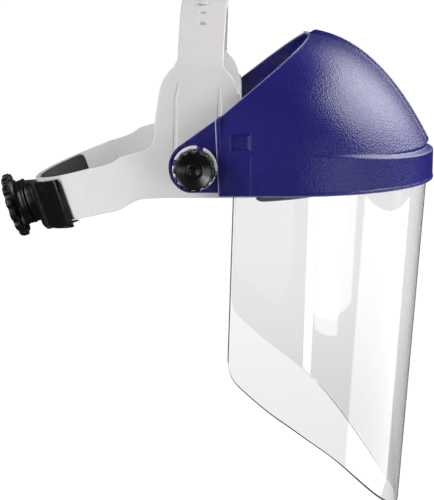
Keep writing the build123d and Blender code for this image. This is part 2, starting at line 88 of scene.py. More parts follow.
# Crown protector
CROWN_OUT = crown_high.y
CROWN_CENTRE = crown_high.x - CROWN_OUT
CROWN_WALL = 2.0
RIM_BOTTOM = crown_low.z
RIM_TOP = RIM_BOTTOM + 24.0
DOME_TOP = RIM_TOP + 73.8
DOME_REACH = 98.0
DOME_INSET = 1.2
SIDE_POWER = 2.5
FRONT_POWER = 0.39
REAR_EDGE_LOW = (12.8, 31.5)
REAR_EDGE_SLOPE = 58.7 / 72.2
RIDGE_FOOT = 15.2
RIB_HALF_WIDTH = 4.6
RIB_RISE = 2.6
TAB_OUT = 99.0
TAB_RADIUS = 16.5
TAB_FLAT = -13.9
STEP_FOOT = RIDGE_FOOT - 0.6
STEP_TOP = (12.4, 31.3)
TOOTH_ANGLES = (75, 165, 255, 345)
TOOTH_PLACE = 12.1
TOOTH_SIZE = (3.8, 3.6)
TOOTH_HEIGHT = 3.6
TAB_BOSS_RADIUS = 11.0
TAB_BOSS_FOOT = 93.9

# Window
WINDOW_WALL = 2.0
WINDOW_TOP = window_high.z
WINDOW_BOTTOM = window_low.z
WINDOW_OUT = window_high.y
WINDOW_CENTRE = window_high.x - WINDOW_OUT
WINDOW_SIDE_LEAN = 0.024
WINDOW_FRONT_LEAN = 0.063
WINDOW_REAR_TOP = 24.0
WINDOW_CORNER = -122.0
SHEET_EDGE_ROUNDING = 0.35

# Headband
BAND_OUT = 87.5
BAND_WALL = 2.5
BAND_CENTRE = 12.0
BAND_BOTTOM = -19.0
BAND_TOP = 12.0
FRONT_LENGTH = BAND_OUT * math.pi / 2
FOLD_OUT = 83.4
FOLD_HEIGHT = 65.6
ARC_FOOT = 70.0
ARC_RADIUS = 111.5
ARC_CENTRE_Z = -9.1
STRAP_WALL = 1.5
STRAP_BACK = -11.7
STRAP_FRONT = 17.4
STRAP_SPREAD = 1.8
STRAP_MIDDLE = 3.8
STRAP_LAP = 34.0
RIGHT_LIFT = 1.6
HOLE_TURNS = [29.6 - 7.5 * step for step in range(6)]
PEG_TURNS = (-14.6, -7.1)

# Rear of the headgear, in its tilted frame
REAR_TILT = math.radians(18.5)
REAR_ORIGIN = np.array([-30.0, 0.0, -5.0])
REAR_FORWARD = np.array([math.cos(REAR_TILT), 0.0, math.sin(REAR_TILT)])
REAR_UP = np.array([-math.sin(REAR_TILT), 0.0, math.cos(REAR_TILT)])
ACROSS = np.array([0.0, 1.0, 0.0])
REAR_REACH = 82.0
REAR_MEAN_RADIUS = (BAND_OUT + REAR_REACH) / 2
STRAP_HALF_HEIGHT = 15.2
REAR_STRAP_WALL = 1.6
SEAM = 33.7
SCREW_OUT = 24.0
HOUSING_HALF_SPAN = 61.0
COVER_HALF_SPAN = 59.0
CASE_DEPTH = 86.8
CASE_BACK = 92.0

# Lobes of the ratchet knob, and scallops of a side knob
GRIP_COUNT = 14


# ---------------------------------------------------------------- mesh helpers

def make_object(name, points, faces, material, body, replaced=()):
    """A mesh object in metres from points in millimetres, riding on a CAD body if one is named."""
    mesh = bpy.data.meshes.new(name)
    mesh.from_pydata([tuple(p) for p in np.asarray(points, float) * MM], [], faces)
    mesh.validate()
    mesh.update()
    mesh.polygons.foreach_set("use_smooth", [True] * len(mesh.polygons))
    obj = bpy.data.objects.new(name, mesh)
    bpy.context.scene.collection.objects.link(obj)
    for one in material if isinstance(material, (list, tuple)) else [material]:
        mesh.materials.append(one)
    if body:
        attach(obj, body)
    if replaced:
        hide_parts(*replaced)
    return obj


def merge(parts):
    """Several (points, faces) pairs as one."""
    points, faces, start = [], [], 0
    for some_points, some_faces in parts:
        points.append(np.asarray(some_points, float))
        faces += [[index + start for index in face] for face in some_faces]
        start += len(some_points)
    return np.vstack(points), faces


def mirrored(part):
    """The same part on the other side of the middle plane."""
    points, faces = part
    flipped = np.array(points, float)
    flipped[:, 1] *= -1
    return flipped, [list(reversed(face)) for face in faces]


def both_sides(part):
    return merge([part, mirrored(part)])


def smooth_line(corners, spacing):
    """A Catmull-Rom curve through the corners, with points about spacing apart."""
    p = np.array(corners, float)
    p = np.vstack([2 * p[0] - p[1], p, 2 * p[-1] - p[-2]])
    line = []
    for i in range(1, len(p) - 2):
        count = max(2, int(round(np.linalg.norm(p[i + 1] - p[i]) / spacing)))
        t = (np.arange(count) / count)[:, None]
        a = 2 * p[i]
        b = p[i + 1] - p[i - 1]
        c = 2 * p[i - 1] - 5 * p[i] + 4 * p[i + 1] - p[i + 2]
        d = 3 * p[i] - p[i - 1] - 3 * p[i + 1] + p[i + 2]
        line.append((a + b * t + c * t**2 + d * t**3) / 2)
    line.append(p[-2][None])
    return np.vstack(line)


def straight_line(corners, spacing):
    """Straight runs through the corners, with points about spacing apart."""
    p = np.array(corners, float)
    line = []
    for start, end in zip(p[:-1], p[1:]):
        count = max(1, int(round(np.linalg.norm(end - start) / spacing)))
        line.append(start + (end - start) * (np.arange(count) / count)[:, None])
    line.append(p[-1][None])
    return np.vstack(line)


def arc_line(centre, radius, start, end, count):
    """Points on a circle between two angles in degrees."""
    angle = np.radians(np.linspace(start, end, count))
    return np.stack([centre[0] + radius * np.cos(angle), centre[1] + radius * np.sin(angle)], 1)


def smoothstep(low, high, value):
    t = np.clip((np.asarray(value, float) - low) / (high - low), 0, 1)
    return t * t * (3 - 2 * t)


def between(value, ends, soft):
    """1 between the two ends and 0 outside them, changing over soft each side of each end."""
    rise, fall = (smoothstep(end - soft, end + soft, value) for end in ends)
    return rise * (1 - fall)


def bump_at(value, middle, half_width):
    """1 at the middle, falling smoothly to 0 at half_width each side."""
    return 1 - smoothstep(0, half_width, np.abs(np.asarray(value, float) - middle))


def grid_normals(grid):
    """Unit normals of a grid of points: rows run up and columns run around."""
    up = np.gradient(grid, axis=0)
    around = np.gradient(grid, axis=1)
    normal = np.cross(around, up)
    return normal / np.maximum(np.linalg.norm(normal, axis=2, keepdims=True), 1e-9)


def shell(grid, normal, outer_relief, inner_relief):
    """A closed wall between two offsets of a grid: points, faces and the count of edge faces."""
    rows, columns = grid.shape[:2]
    outer = grid + normal * outer_relief[..., None]
    inner = grid + normal * inner_relief[..., None]
    points = np.vstack([outer.reshape(-1, 3), inner.reshape(-1, 3)])
    count = rows * columns
    faces = []
    for i in range(rows - 1):
        for j in range(columns - 1):
            a = i * columns + j
            b, c, d = a + 1, a + columns + 1, a + columns
            faces.append([a, b, c, d])
            faces.append([a + count, d + count, c + count, b + count])
    loop = list(range(columns))
    loop += [i * columns + columns - 1 for i in range(1, rows)]
    loop += [(rows - 1) * columns + j for j in range(columns - 2, -1, -1)]
    loop += [i * columns for i in range(rows - 2, 0, -1)]
    for a, b in zip(loop, loop[1:] + loop[:1]):
        faces.append([b, a, a + count, b + count])
    return points, faces, len(loop)


def lathe(profile, segments, radius_of=None):
    """A closed solid of revolution about Z. The profile is (radius, height) from axis to axis;
    radius_of(angle, radius, height) may change the radius with the angle."""
    points, faces = [], []
    angles = np.arange(segments) * 2 * math.pi / segments
    rings = []
    for radius, height in profile:
        if radius < 1e-6:
            rings.append([len(points)])
            points.append((0, 0, height))
            continue
        around = np.full(segments, float(radius))
        if radius_of is not None:
            around = radius_of(angles, radius, height)
        rings.append(list(range(len(points), len(points) + segments)))
        points += [(r * math.cos(a), r * math.sin(a), height) for r, a in zip(around, angles)]
    for low, high in zip(rings[:-1], rings[1:]):
        for k in range(segments):
            n = (k + 1) % segments
            if len(low) == 1:
                faces.append([low[0], high[n], high[k]])
            elif len(high) == 1:
                faces.append([low[k], low[n], high[0]])
            else:
                faces.append([low[k], low[n], high[n], high[k]])
    return np.array(points, float), faces


def rounded(corners, radius, steps=3, closed=False):
    """A polyline with its corners replaced by small curves; a corner may carry its own radius."""
    p = [np.array(c[:2], float) for c in corners]
    out = []
    for i, point in enumerate(p):
        if not closed and i in (0, len(p) - 1):
            out.append(tuple(point))
            continue
        back, ahead = p[i - 1] - point, p[(i + 1) % len(p)] - point
        back_length, ahead_length = np.linalg.norm(back), np.linalg.norm(ahead)
        shorter = min(back_length, ahead_length)
        cut = min(corners[i][2], 0.48 * shorter) if len(corners[i]) > 2 else min(radius, 0.45 * shorter)
        start = point + back / max(back_length, 1e-9) * cut
        end = point + ahead / max(ahead_length, 1e-9) * cut
        for t in np.linspace(0, 1, steps + 1):
            out.append(tuple((1 - t) ** 2 * start + 2 * t * (1 - t) * point + t * t * end))
    return out


def closed_line(corners, spacing):
    """Points about spacing apart round a closed outline."""
    return straight_line(list(corners) + [corners[0]], spacing)[:-1]


def loft_rings(rings):
    """Quads between closed rings of equal length, with flat caps at both ends."""
    count = len(rings[0])
    points = np.vstack(rings)
    faces = []
    for i in range(len(rings) - 1):
        for k in range(count):
            n = (k + 1) % count
            faces.append([i * count + k, i * count + n, (i + 1) * count + n, (i + 1) * count + k])
    faces.append(list(reversed(range(count))))
    faces.append([(len(rings) - 1) * count + k for k in range(count)])
    return points, faces


# ---------------------------------------------------------------- moulded plates

def signed_area(loop):
    x, y = loop[:, 0], loop[:, 1]
    return 0.5 * float(np.sum(x * np.roll(y, -1) - np.roll(x, -1) * y))


def inward_miters(loop):
    """For a loop with the material on its left: offset directions that keep an even inset."""
    forward = np.roll(loop, -1, 0) - loop
    forward /= np.maximum(np.linalg.norm(forward, axis=1, keepdims=True), 1e-9)
    left = np.stack([-forward[:, 1], forward[:, 0]], 1)
    both = left + np.roll(left, 1, 0)
    both /= np.maximum(np.linalg.norm(both, axis=1, keepdims=True), 1e-9)
    stretch = 1 / np.clip(np.sum(both * left, 1), 0.5, 1)
    return both * stretch[:, None]


def inside_loops(points, loops):
    """Even-odd test of points against all loops together."""
    inside = np.zeros(len(points), bool)
    x, y = points[:, 0], points[:, 1]
    for loop in loops:
        for (x0, y0), (x1, y1) in zip(loop, np.roll(loop, -1, 0)):
            if y0 == y1:
                continue
            crosses = (y0 > y) != (y1 > y)
            inside ^= crosses & (x < (x1 - x0) * (y - y0) / (y1 - y0) + x0)
    return inside


def tidy_loop(loop, is_hole):
    """Drops repeated points, and turns an outline anticlockwise and a hole clockwise."""
    loop = np.array(loop, float)
    gap = np.linalg.norm(np.roll(loop, -1, 0) - loop, axis=1)
    loop = loop[gap > 0.02]
    if (signed_area(loop) > 0) == is_hole:
        loop = loop[::-1]
    return loop


def plate(loops, place, thickness, spacing=2.6, edge=0.6):
    """A moulded plate from a 2D outline and its holes, with rounded edges all round.
    place(u, v, depth) turns arrays of 2D points and depths below the face into 3D points, and
    thickness is a number or a function of v."""
    loops = [tidy_loop(loop, index > 0) for index, loop in enumerate(loops)]
    rings = [(0.0, edge), (0.3 * edge, 0.3 * edge), (edge, 0.0), (1.8 * edge, 0.0)]
    flat, depth, lines, borders = [], [], [], []
    for loop in loops:
        miter = inward_miters(loop)
        for inset, down in rings:
            start = len(flat)
            flat += [tuple(p) for p in loop + miter * inset]
            depth += [down] * len(loop)
            lines += [(start + k, start + (k + 1) % len(loop)) for k in range(len(loop))]
            if inset == 0.0:
                borders.append((start, len(loop)))
    low, high = loops[0].min(0), loops[0].max(0)
    rows = np.arange(low[1], high[1], spacing * 0.87)
    field = []
    for index, v in enumerate(rows):
        shift = 0.5 * spacing * (index % 2)
        field += [(u, v) for u in np.arange(low[0] + shift, high[0], spacing)]
    field = np.array(field)
    edge_points = np.vstack(loops)
    near = np.full(len(field), 1e9)
    for block in np.array_split(edge_points, max(1, len(edge_points) // 200)):
        gaps = np.linalg.norm(field[:, None] - block[None], axis=2).min(1)
        near = np.minimum(near, gaps)
    keep = (near > 1.8 * edge + 0.4 * spacing) & inside_loops(field, loops)
    flat += [tuple(p) for p in field[keep]]
    depth += [0.0] * int(keep.sum())
    corners = [Vector(p) for p in flat]
    out, _, triangles, origin, _, _ = delaunay_2d_cdt(corners, lines, [], 0, 1e-5, True)
    uv = np.array([tuple(p) for p in out], float)
    down = np.array([depth[ids[0]] if ids else 0.0 for ids in origin])
    moved = {}
    for new, ids in enumerate(origin):
        for old in ids:
            moved[old] = new
    middle = np.array([uv[list(t)].mean(0) for t in triangles])
    chosen = [list(t) for t, ok in zip(triangles, inside_loops(middle, loops)) if ok]
    wall = thickness(uv[:, 1]) if callable(thickness) else np.full(len(uv), float(thickness))
    top = place(uv[:, 0], uv[:, 1], down)
    bottom = place(uv[:, 0], uv[:, 1], wall - down)
    count = len(uv)
    faces = chosen + [[i + count for i in reversed(t)] for t in chosen]
    for start, length in borders:
        for k in range(length):
            a, b = moved[start + k], moved[start + (k + 1) % length]
            faces.append([b, a, a + count, b + count])
    return np.vstack([top, bottom]), faces


# ---------------------------------------------------------------- materials

class Paint:
    """Builds one node material step by step."""

    def __init__(self, name, **values):
        self.material = bpy.data.materials.new(name)
        self.material.use_nodes = True
        self.nodes = self.material.node_tree.nodes
        self.links = self.material.node_tree.links
        self.shader = self.nodes["Principled BSDF"]
        for socket, value in values.items():
            self.shader.inputs[socket.replace("_", " ")].default_value = value
        self.place = self.nodes.new("ShaderNodeTexCoord").outputs["Object"]

    def node(self, kind, inputs=None, **settings):
        node = self.nodes.new("ShaderNode" + kind)
        for key, value in settings.items():
            setattr(node, key, value)
        for socket, value in (inputs or {}).items():
            if isinstance(value, bpy.types.NodeSocket):
                self.links.new(value, node.inputs[socket])
            else:
                node.inputs[socket].default_value = value
        return node

    def noise(self, size, detail=3.0, roughness=0.55):
        """Noise whose lumps are about size millimetres across."""
        inputs = {"Vector": self.place, "Scale": 1 / (size * MM), "Detail": detail, "Roughness": roughness}
        return self.node("TexNoise", inputs).outputs["Fac"]

    def cells(self, size):
        """Distance to the middle of the nearest cell, for cells about size millimetres across."""
        inputs = {"Vector": self.place, "Scale": 1 / (size * MM)}
        return self.node("TexVoronoi", inputs).outputs["Distance"]

    def ramp(self, value, low_colour, high_colour, low=0.3, high=0.7):
        """One colour up to low, another from high on, and their mixture between."""
        node = self.node("ValToRGB", {"Fac": value})
        first, last = node.color_ramp.elements
        first.position, first.color = low, low_colour
        last.position, last.color = high, high_colour
        return node.outputs["Color"]

    def wander(self, size, detail, low, high):
        """A value that drifts between two ends in lumps about size millimetres across."""
        return self.span(self.noise(size, detail), 0.3, 0.7, low, high)

    def span(self, value, low, high, out_low, out_high):
        inputs = {0: value, 1: low, 2: high, 3: out_low, 4: out_high}
        return self.node("MapRange", inputs).outputs["Result"]

    def mix(self, factor, a, b):
        node = self.node("Mix", data_type="RGBA")
        for index, value in ((0, factor), (6, a), (7, b)):
            if isinstance(value, bpy.types.NodeSocket):
                self.links.new(value, node.inputs[index])
            else:
                node.inputs[index].default_value = value
        return node.outputs[2]

    def maths(self, operation, a, b):
        return self.node("Math", {0: a, 1: b}, operation=operation).outputs[0]

    def set(self, socket, output):
        self.links.new(output, self.shader.inputs[socket])

    def bumps(self, *layers):
        """Layers of (height, strength, depth in millimetres), laid over each other."""
        normal = None
        for height, strength, depth in layers:
            inputs = {"Height": height, "Strength": strength, "Distance": depth * MM}
            if normal is not None:
                inputs["Normal"] = normal
            normal = self.node("Bump", inputs).outputs["Normal"]
        self.set("Normal", normal)

    def edges(self):
        """Lighter where the surface is sharply convex."""
        return self.node("NewGeometry").outputs["Pointiness"]


def grey(value):
    return (value, value, value, 1.0)


def crown_plastic():
    """Pebbled navy nylon, with a pale lilac painted highlight along the edges that the mesh marks."""
    paint = Paint("crown_blue", IOR=1.5, Roughness=0.4)
    colour = paint.ramp(paint.noise(38, 3), (0.0105, 0.0092, 0.130, 1), (0.0135, 0.0118, 0.152, 1))
    edge_highlight = paint.node("Attribute", attribute_name="edge_highlight").outputs["Fac"]
    patchy_highlight = paint.maths("MULTIPLY", edge_highlight, paint.wander(5, 3, 0.55, 1.0))
    # Painted highlight: a point attribute mixes in pale lilac along the crown's edges and step, standing in
    # for light caught there.
    paint.set("Base Color", paint.mix(patchy_highlight, colour, (0.50, 0.48, 0.66, 1)))
    paint.set("Roughness", paint.wander(6, 4, 0.27, 0.35))
    paint.bumps((paint.cells(1.2), 0.75, 0.2), (paint.noise(0.7, 2), 0.2, 0.05))
    return paint.material


def clear_sheet():
    """Polished polycarbonate with a faint grey cast, darker towards the bottom."""
    paint = Paint("clear_window", IOR=1.58, Roughness=0.0, Transmission_Weight=1.0)
    height = paint.node("SeparateXYZ", {0: paint.place}).outputs["Z"]
    # Base colour darker towards the bottom of the window.
    tone_by_height = paint.span(height, -0.2, -0.09, 0.1, 0.8)
    tone = paint.maths("ADD", tone_by_height, paint.wander(60, 2, 0, 0.1))
    paint.set("Base Color", paint.ramp(tone, (0.80, 0.802, 0.801, 1), (0.93, 0.932, 0.93, 1), 0.1, 0.9))
    paint.bumps((paint.noise(45, 2), 0.05, 0.4), (paint.noise(0.4, 2), 0.02, 0.01))
    return paint.material


def sheet_edge_shade():
    """The cut edge of the window, painted dark as painted shade, because little light leaves it."""
    paint = Paint("window_edge_painted_shade", IOR=1.58, Roughness=0.15)
    paint.set("Base Color", paint.ramp(paint.noise(3, 3), grey(0.035), grey(0.075)))
    paint.bumps((paint.noise(0.5, 2), 0.1, 0.05))
    return paint.material


def pale_plastic(name, cool, warm, roughness=0.45):
    """Moulded polyethylene, slightly waxy, with flow marks."""
    paint = Paint(name, IOR=1.5, Roughness=roughness, Subsurface_Weight=0.06, Subsurface_Scale=0.004)
    colour = paint.ramp(paint.noise(32, 4), cool, warm)
    specks = paint.span(paint.noise(1.1, 2), 0.66, 0.8, 0.0, 0.12)
    paint.set("Base Color", paint.mix(specks, colour, grey(0.45)))
    paint.set("Roughness", paint.wander(9, 3, roughness - 0.06, roughness + 0.08))
    paint.bumps((paint.noise(14, 3), 0.12, 0.3), (paint.noise(0.8, 3), 0.12, 0.05))
    return paint.material


def black_plastic(name, level, roughness, grain):
    """Moulded black nylon with a fine grain, lighter on sharply convex edges."""
    paint = Paint(name, IOR=1.5, Roughness=roughness)
    colour = paint.ramp(paint.noise(12, 4), grey(level * 0.8), grey(level * 1.25))
    # Base colour lighter grey on sharply convex edges.
    convex_edge_tone = paint.span(paint.edges(), 0.62, 0.8, 0.0, 0.5)
    paint.set("Base Color", paint.mix(convex_edge_tone, colour, grey(0.09)))
    paint.set("Roughness", paint.wander(5, 3, roughness - 0.07, roughness + 0.09))
    paint.bumps((paint.noise(grain, 3), 0.25, 0.08), (paint.noise(6, 2), 0.05, 0.2))
    return paint.material


def metal(name, colour, roughness, scratch):
    """Turned or plated metal with fine marks."""
    paint = Paint(name, Metallic=1.0, Roughness=roughness)
    dull = tuple(c * 0.72 for c in colour) + (1,)
    paint.set("Base Color", paint.ramp(paint.noise(2.5, 4), dull, colour + (1,)))
    paint.set("Roughness", paint.wander(0.6, 4, roughness - 0.08, roughness + 0.12))
    paint.bumps((paint.noise(scratch, 4), 0.15, 0.04))
    return paint.material


def knit_fabric():
    """Black knitted cover: rows of small loops over soft foam."""
    paint = Paint("sweatband_black", Roughness=0.92, Sheen_Weight=0.35, Sheen_Roughness=0.45)
    waves = {"Vector": paint.place, "Scale": 420.0, "Distortion": 1.5, "Detail": 2.0}
    rows = paint.node("TexWave", waves, bands_direction="Z").outputs["Fac"]
    loops = paint.cells(0.8)
    colour = paint.ramp(paint.noise(4, 4), grey(0.008), grey(0.02))
    paint.set("Base Color", paint.mix(paint.span(loops, 0.1, 0.6, 0.5, 0.0), colour, grey(0.045)))
    paint.bumps((rows, 0.4, 0.25), (loops, 0.5, 0.3), (paint.noise(6, 2), 0.2, 0.6))
    return paint.material


blue = crown_plastic()
clear = clear_sheet()
edge_shade_paint = sheet_edge_shade()
band_plastic = pale_plastic("band_grey", (0.655, 0.645, 0.642, 1), (0.695, 0.686, 0.684, 1))
rear_plastic = pale_plastic("rear_strap_grey", (0.655, 0.648, 0.642, 1), (0.695, 0.69, 0.685, 1))
knob_plastic = black_plastic("knob_black", 0.005, 0.25, 0.6)
ratchet_plastic = black_plastic("ratchet_black", 0.005, 0.27, 0.7)
cover_plastic = black_plastic("cover_black", 0.010, 0.42, 0.9)
ring_plastic = pale_plastic("ring_white", (0.80, 0.80, 0.80, 1), (0.86, 0.86, 0.86, 1), 0.35)
nylon = pale_plastic("natural_nylon", (0.66, 0.63, 0.55, 1), (0.74, 0.71, 0.63, 1), 0.4)
zinc = metal("bolt_zinc", (0.62, 0.63, 0.66), 0.32, 0.5)
brass = metal("insert_brass", (0.72, 0.55, 0.26), 0.28, 0.4)
steel = metal("plain_steel", (0.55, 0.56, 0.58), 0.3, 0.35)
fabric = knit_fabric()


# ---------------------------------------------------------------- crown protector

def crease_height(x):
    """The line between rim and dome: lowest in front, rising to the sides."""
    return RIM_TOP - 3.0 + 4.7 * (1 - smoothstep(70, 152, x))


def crown_section(level):
    """(half width, reach) of the dome at a level from 0 at the rim to 1 at its top."""
    level = min(max(level, 0.0), 1.0)
    half_width = (CROWN_OUT - DOME_INSET) * (1 - level**SIDE_POWER) ** (1 / SIDE_POWER)
    half_width += DOME_INSET * (1 - level) ** 3
    return half_width, DOME_REACH * (1 - level) ** FRONT_POWER


def crown_rear(height):
    """How far forward the crown's rear edge is at a height."""
    x, z = REAR_EDGE_LOW
    if height < z:
        return x + (RIDGE_FOOT - x) * (z - height) / (z - RIM_BOTTOM)
    return x + (height - z) / REAR_EDGE_SLOPE


def half_section(height, half_width, reach):
    """The grid's points along one side of a D-shaped section, from the rear edge to the nose."""
    rear = crown_rear(height)
    start = math.asin(min(max((rear - CROWN_CENTRE) / reach, 0), 0.9999))
    turn = np.linspace(start, math.pi / 2, 300)
    x = CROWN_CENTRE + reach * np.sin(turn)
    y = half_width * np.cos(turn)
    if rear < CROWN_CENTRE:
        x = np.concatenate([[rear], x])
        y = np.concatenate([[half_width], y])
    along = np.concatenate([[0], np.cumsum(np.hypot(np.diff(x), np.diff(y)))])
    at = crown_columns(height, along[-1])
    return np.interp(at, along, x), np.interp(at, along, y)


CREASE_TOP = 13.0
RECESS_X = (22.0, 34.5)
RECESS_Z = (13.2, 22.8)
RECESS_DEPTH = 1.6
SIDE_OUT = 80
SIDE_FRONT = 56
PANEL_X = (19.8, 35.0)
PANEL_TOP = 9.8
NEAR_EDGE = (0.0, 0.2, 0.5, 1.0, 1.4, 2.2, 4.0)
NEAR_MIDDLE = (7.0, 5.6, 5.0, 4.5, 3.9, 2.6, 1.3)
PANEL_LINES = (
    19.3, 19.8, 20.3, 20.8, 21.3, 21.8, 22.1, 22.5, 24, 26, 28, 30, 32, 34, 34.4, 34.7, 35.0, 35.5, 36.0,
    38, 40, 42, 44, 46, 48, 50, 52, 54,
)


def crown_columns(height, total):
    """Distances along a half section of the given length for every column of the crown's grid."""
    low_rear = crown_rear(min(height, REAR_EDGE_LOW[1]))
    panel = np.array(PANEL_LINES) - low_rear
    curve = np.linspace(0, 1, 60)[1:]
    squeeze = min(1.0, total / 34.0)
    middle = total - np.array(NEAR_MIDDLE) * squeeze
    if height <= REAR_EDGE_LOW[1]:
        last = panel[-1]
        rest = last + (middle[0] - last) * curve[:-1]
        return np.concatenate([NEAR_EDGE, panel, rest, middle, [total]])
    half_width, reach = crown_section((REAR_EDGE_LOW[1] - RIM_TOP) / (DOME_TOP - RIM_TOP))
    whole = CROWN_CENTRE - REAR_EDGE_LOW[0] + quarter_ellipse(reach, half_width)
    first = NEAR_EDGE[-1]
    low_last = panel[-1]
    low_rest = low_last + (whole - NEAR_MIDDLE[0] - low_last) * curve[:-1]
    inner = np.concatenate([panel, low_rest])
    share = (inner - first) / (whole - NEAR_MIDDLE[0] - first)
    edge = np.array(NEAR_EDGE) * squeeze
    spread = edge[-1] + share * (middle[0] - edge[-1])
    return np.concatenate([edge, spread, middle, [total]])


def quarter_ellipse(a, b):
    turn = np.linspace(0, math.pi / 2, 400)
    return float(np.sum(np.hypot(np.diff(a * np.sin(turn)), np.diff(b * np.cos(turn)))))


def crown_heights():
    """Heights of the grid's rows: closer at the lip, the panel, the recess, the crease and the top."""
    low = [0, 0.2, 0.5, 1.0, 1.9, 2.4, 3.2, 5, 7, 9, 11, 13, 15, 16.5, 17.5, 18.3]
    lines = [RIM_BOTTOM + h for h in low]
    crease = list(np.arange(3.0, 13.01, 0.5))
    recess = [13.3, 13.6, 14.5, 16, 18, 20, 21.5, 22.4, 22.7, 23.1, 23.6, 24.5, 26, 27.5, 29, 30.3, 31.2]
    top = 81.3
    steps = 62
    dome = [REAR_EDGE_LOW[1] + (top - REAR_EDGE_LOW[1]) * math.sin(math.pi / 2 * (k + 0.5) / steps)
            for k in range(steps)]
    return lines + crease + recess + dome


def crown_grid():
    """The crown's outside: rows of points from the right rear edge round the nose to the left."""
    rows = []
    for height in crown_heights():
        level = (height - RIM_TOP) / (DOME_TOP - RIM_TOP)
        x_dome, y_dome = half_section(height, *crown_section(level))
        x_rim, y_rim = half_section(height, CROWN_OUT, CROWN_OUT)
        step = smoothstep(-1.5, 1.5, height - crease_height(x_rim))
        if height > CREASE_TOP:
            step = np.ones_like(step)
        x = x_rim + (x_dome - x_rim) * step
        y = y_rim + (y_dome - y_rim) * step
        right = np.stack([x, -y, np.full_like(x, height)], 1)
        left = np.stack([x, y, np.full_like(x, height)], 1)[::-1][1:]
        rows.append(np.vstack([right, left]))
    return np.array(rows)


def crown_relief(grid):
    """Raised and sunk details: the lips, the centre rib, the panel lines and the recess."""
    x, y, z = grid[..., 0], grid[..., 1], grid[..., 2]
    near = np.full(grid.shape[1], 99.0)
    near[:len(NEAR_EDGE)] = NEAR_EDGE
    near[-len(NEAR_EDGE):] = NEAR_EDGE[::-1]
    above = smoothstep(30.0, 33.0, z)
    lip = np.interp(near, NEAR_EDGE, [-0.55, -0.05, 0.32, 0.42, 0.12, 0.0, 0.0], right=0.0)
    plain = np.interp(near, [0, 0.2, 0.5], [-0.6, -0.25, 0.0], right=0.0)
    relief = above * lip[None, :] + (1 - above) * plain[None, :]
    up = z - RIM_BOTTOM
    bottom = np.interp(up, [0, 0.2, 0.5, 1.0, 1.9, 2.4], [-0.65, -0.15, 0.25, 0.4, 0.35, 0.0], right=0.0)
    relief = relief + bottom
    side = (np.abs(y) > SIDE_OUT) & (x < SIDE_FRONT)
    rib = RIB_RISE * (1 - smoothstep(RIB_HALF_WIDTH - 0.5, RIB_HALF_WIDTH + 0.5, np.abs(y)))
    behind = x - np.array([[crown_rear(height)] for height in z[:, 0]])
    rib = rib * smoothstep(RIM_TOP - 2.5, RIM_TOP + 1.5, z)
    rib = rib * (x > CROWN_CENTRE) * smoothstep(0.2, 5.5, behind)
    relief = relief + rib
    relief = relief - RECESS_DEPTH * between(x, RECESS_X, 0.2) * between(z, RECESS_Z, 0.2) * side
    below = 1 - smoothstep(PANEL_TOP - 0.2, PANEL_TOP + 0.4, z)
    for line in PANEL_X:
        relief = relief + 0.16 * bump_at(x, line, 0.6) * below * side
    relief = relief + 0.12 * bump_at(z, PANEL_TOP, 0.7) * side * (x > PANEL_X[0]) * (x < PANEL_X[1])
    return relief


def crown_tab():
    """One pivot tab: a plate with a raised rim, a boss behind it and four teeth for the ring."""
    hub = (0.0, pivot_height)
    flat = math.degrees(math.asin(max(-1.0, (TAB_FLAT - pivot_height) / TAB_RADIUS)))
    around = arc_line(hub, TAB_RADIUS, 122, 180 - flat, 70)
    neck = straight_line([(2.0, TAB_FLAT), (17.5, TAB_FLAT), (17.5, 34.5), (12.8, 31.5)], 1.2)
    slope = straight_line([(12.8, 31.5), tuple(around[0])], 1.2)
    outline = np.vstack([around, neck, slope[:-1]])
    base = plate([outline], side_face(TAB_OUT), 2.6, 2.4, 0.5)
    step_corners = [(STEP_FOOT, RIM_BOTTOM), STEP_TOP, (15.4, 34.0), (RIDGE_FOOT + 3.0, RIM_BOTTOM)]
    step = plate([closed_line(step_corners, 1.5)], side_face(CROWN_OUT - 0.3), 6.0, 2.0, 0.5)
    tip = TAB_OUT + TOOTH_HEIGHT
    teeth = [block((TOOTH_PLACE, 0), TOOTH_SIZE, angle, TAB_OUT, tip) for angle in TOOTH_ANGLES]
    radius, low, high = TAB_BOSS_RADIUS, TAB_BOSS_FOOT, TAB_OUT - 1
    boss = lathe(rounded([(0, low), (radius, low), (radius, high), (0, high)], 0.5), 72)
    return merge([base, raised_rim(hub), step, stood_on_left(boss)] + teeth)


def side_face(out):
    """Placing on a plate that stands square to Y on the left side, with its face at out."""
    def place(u, v, depth):
        return np.stack([u, out - depth, v], 1)
    return place


def on_left(points):
    """From the pivot's own frame, with Z outward, to the left side of the object."""
    p = np.asarray(points, float)
    return np.stack([p[:, 0], p[:, 2], p[:, 1] + pivot_height], 1)


def stood_on_left(part):
    """A part from the pivot's own frame, on the left side, with its faces still looking out."""
    points, faces = part
    return on_left(points), [face[::-1] for face in faces]


def raised_rim(hub):
    """A narrow wall round the outside of the tab's disc."""
    low, high = TAB_OUT - 0.5, TAB_OUT + 1.6
    profile = rounded([(14.6, low), (16.4, low), (16.4, high), (14.9, high)], 0.35, closed=True)
    rings = []
    for angle in np.radians(np.linspace(112, 246, 90)):
        ring = [(hub[0] + r * math.cos(angle), out, hub[1] + r * math.sin(angle)) for r, out in profile]
        rings.append(np.array(ring))
    return loft_rings(rings)


def block(middle, size, turn, low_out, high_out):
    """A small rounded block standing on the tab, turned about the pivot."""
    angle = math.radians(turn)
    signs = [(-1, -1), (1, -1), (1, 1), (-1, 1)]
    corners = [(middle[0] + sx * size[0] / 2, middle[1] + sz * size[1] / 2) for sx, sz in signs]
    outline = rounded(corners, 0.5, closed=True)
    rings = []
    for out, shrink in ((low_out - 0.4, 1.0), (high_out - 0.4, 1.0), (high_out, 0.86)):
        ring = []
        for a, b in outline:
            a, b = middle[0] + (a - middle[0]) * shrink, middle[1] + (b - middle[1]) * shrink
            ring.append((a * math.cos(angle) - b * math.sin(angle), out,
                         pivot_height + a * math.sin(angle) + b * math.cos(angle)))
        rings.append(np.array(ring))
    points, faces = loft_rings(rings)
    return points, [list(reversed(f)) for f in faces]


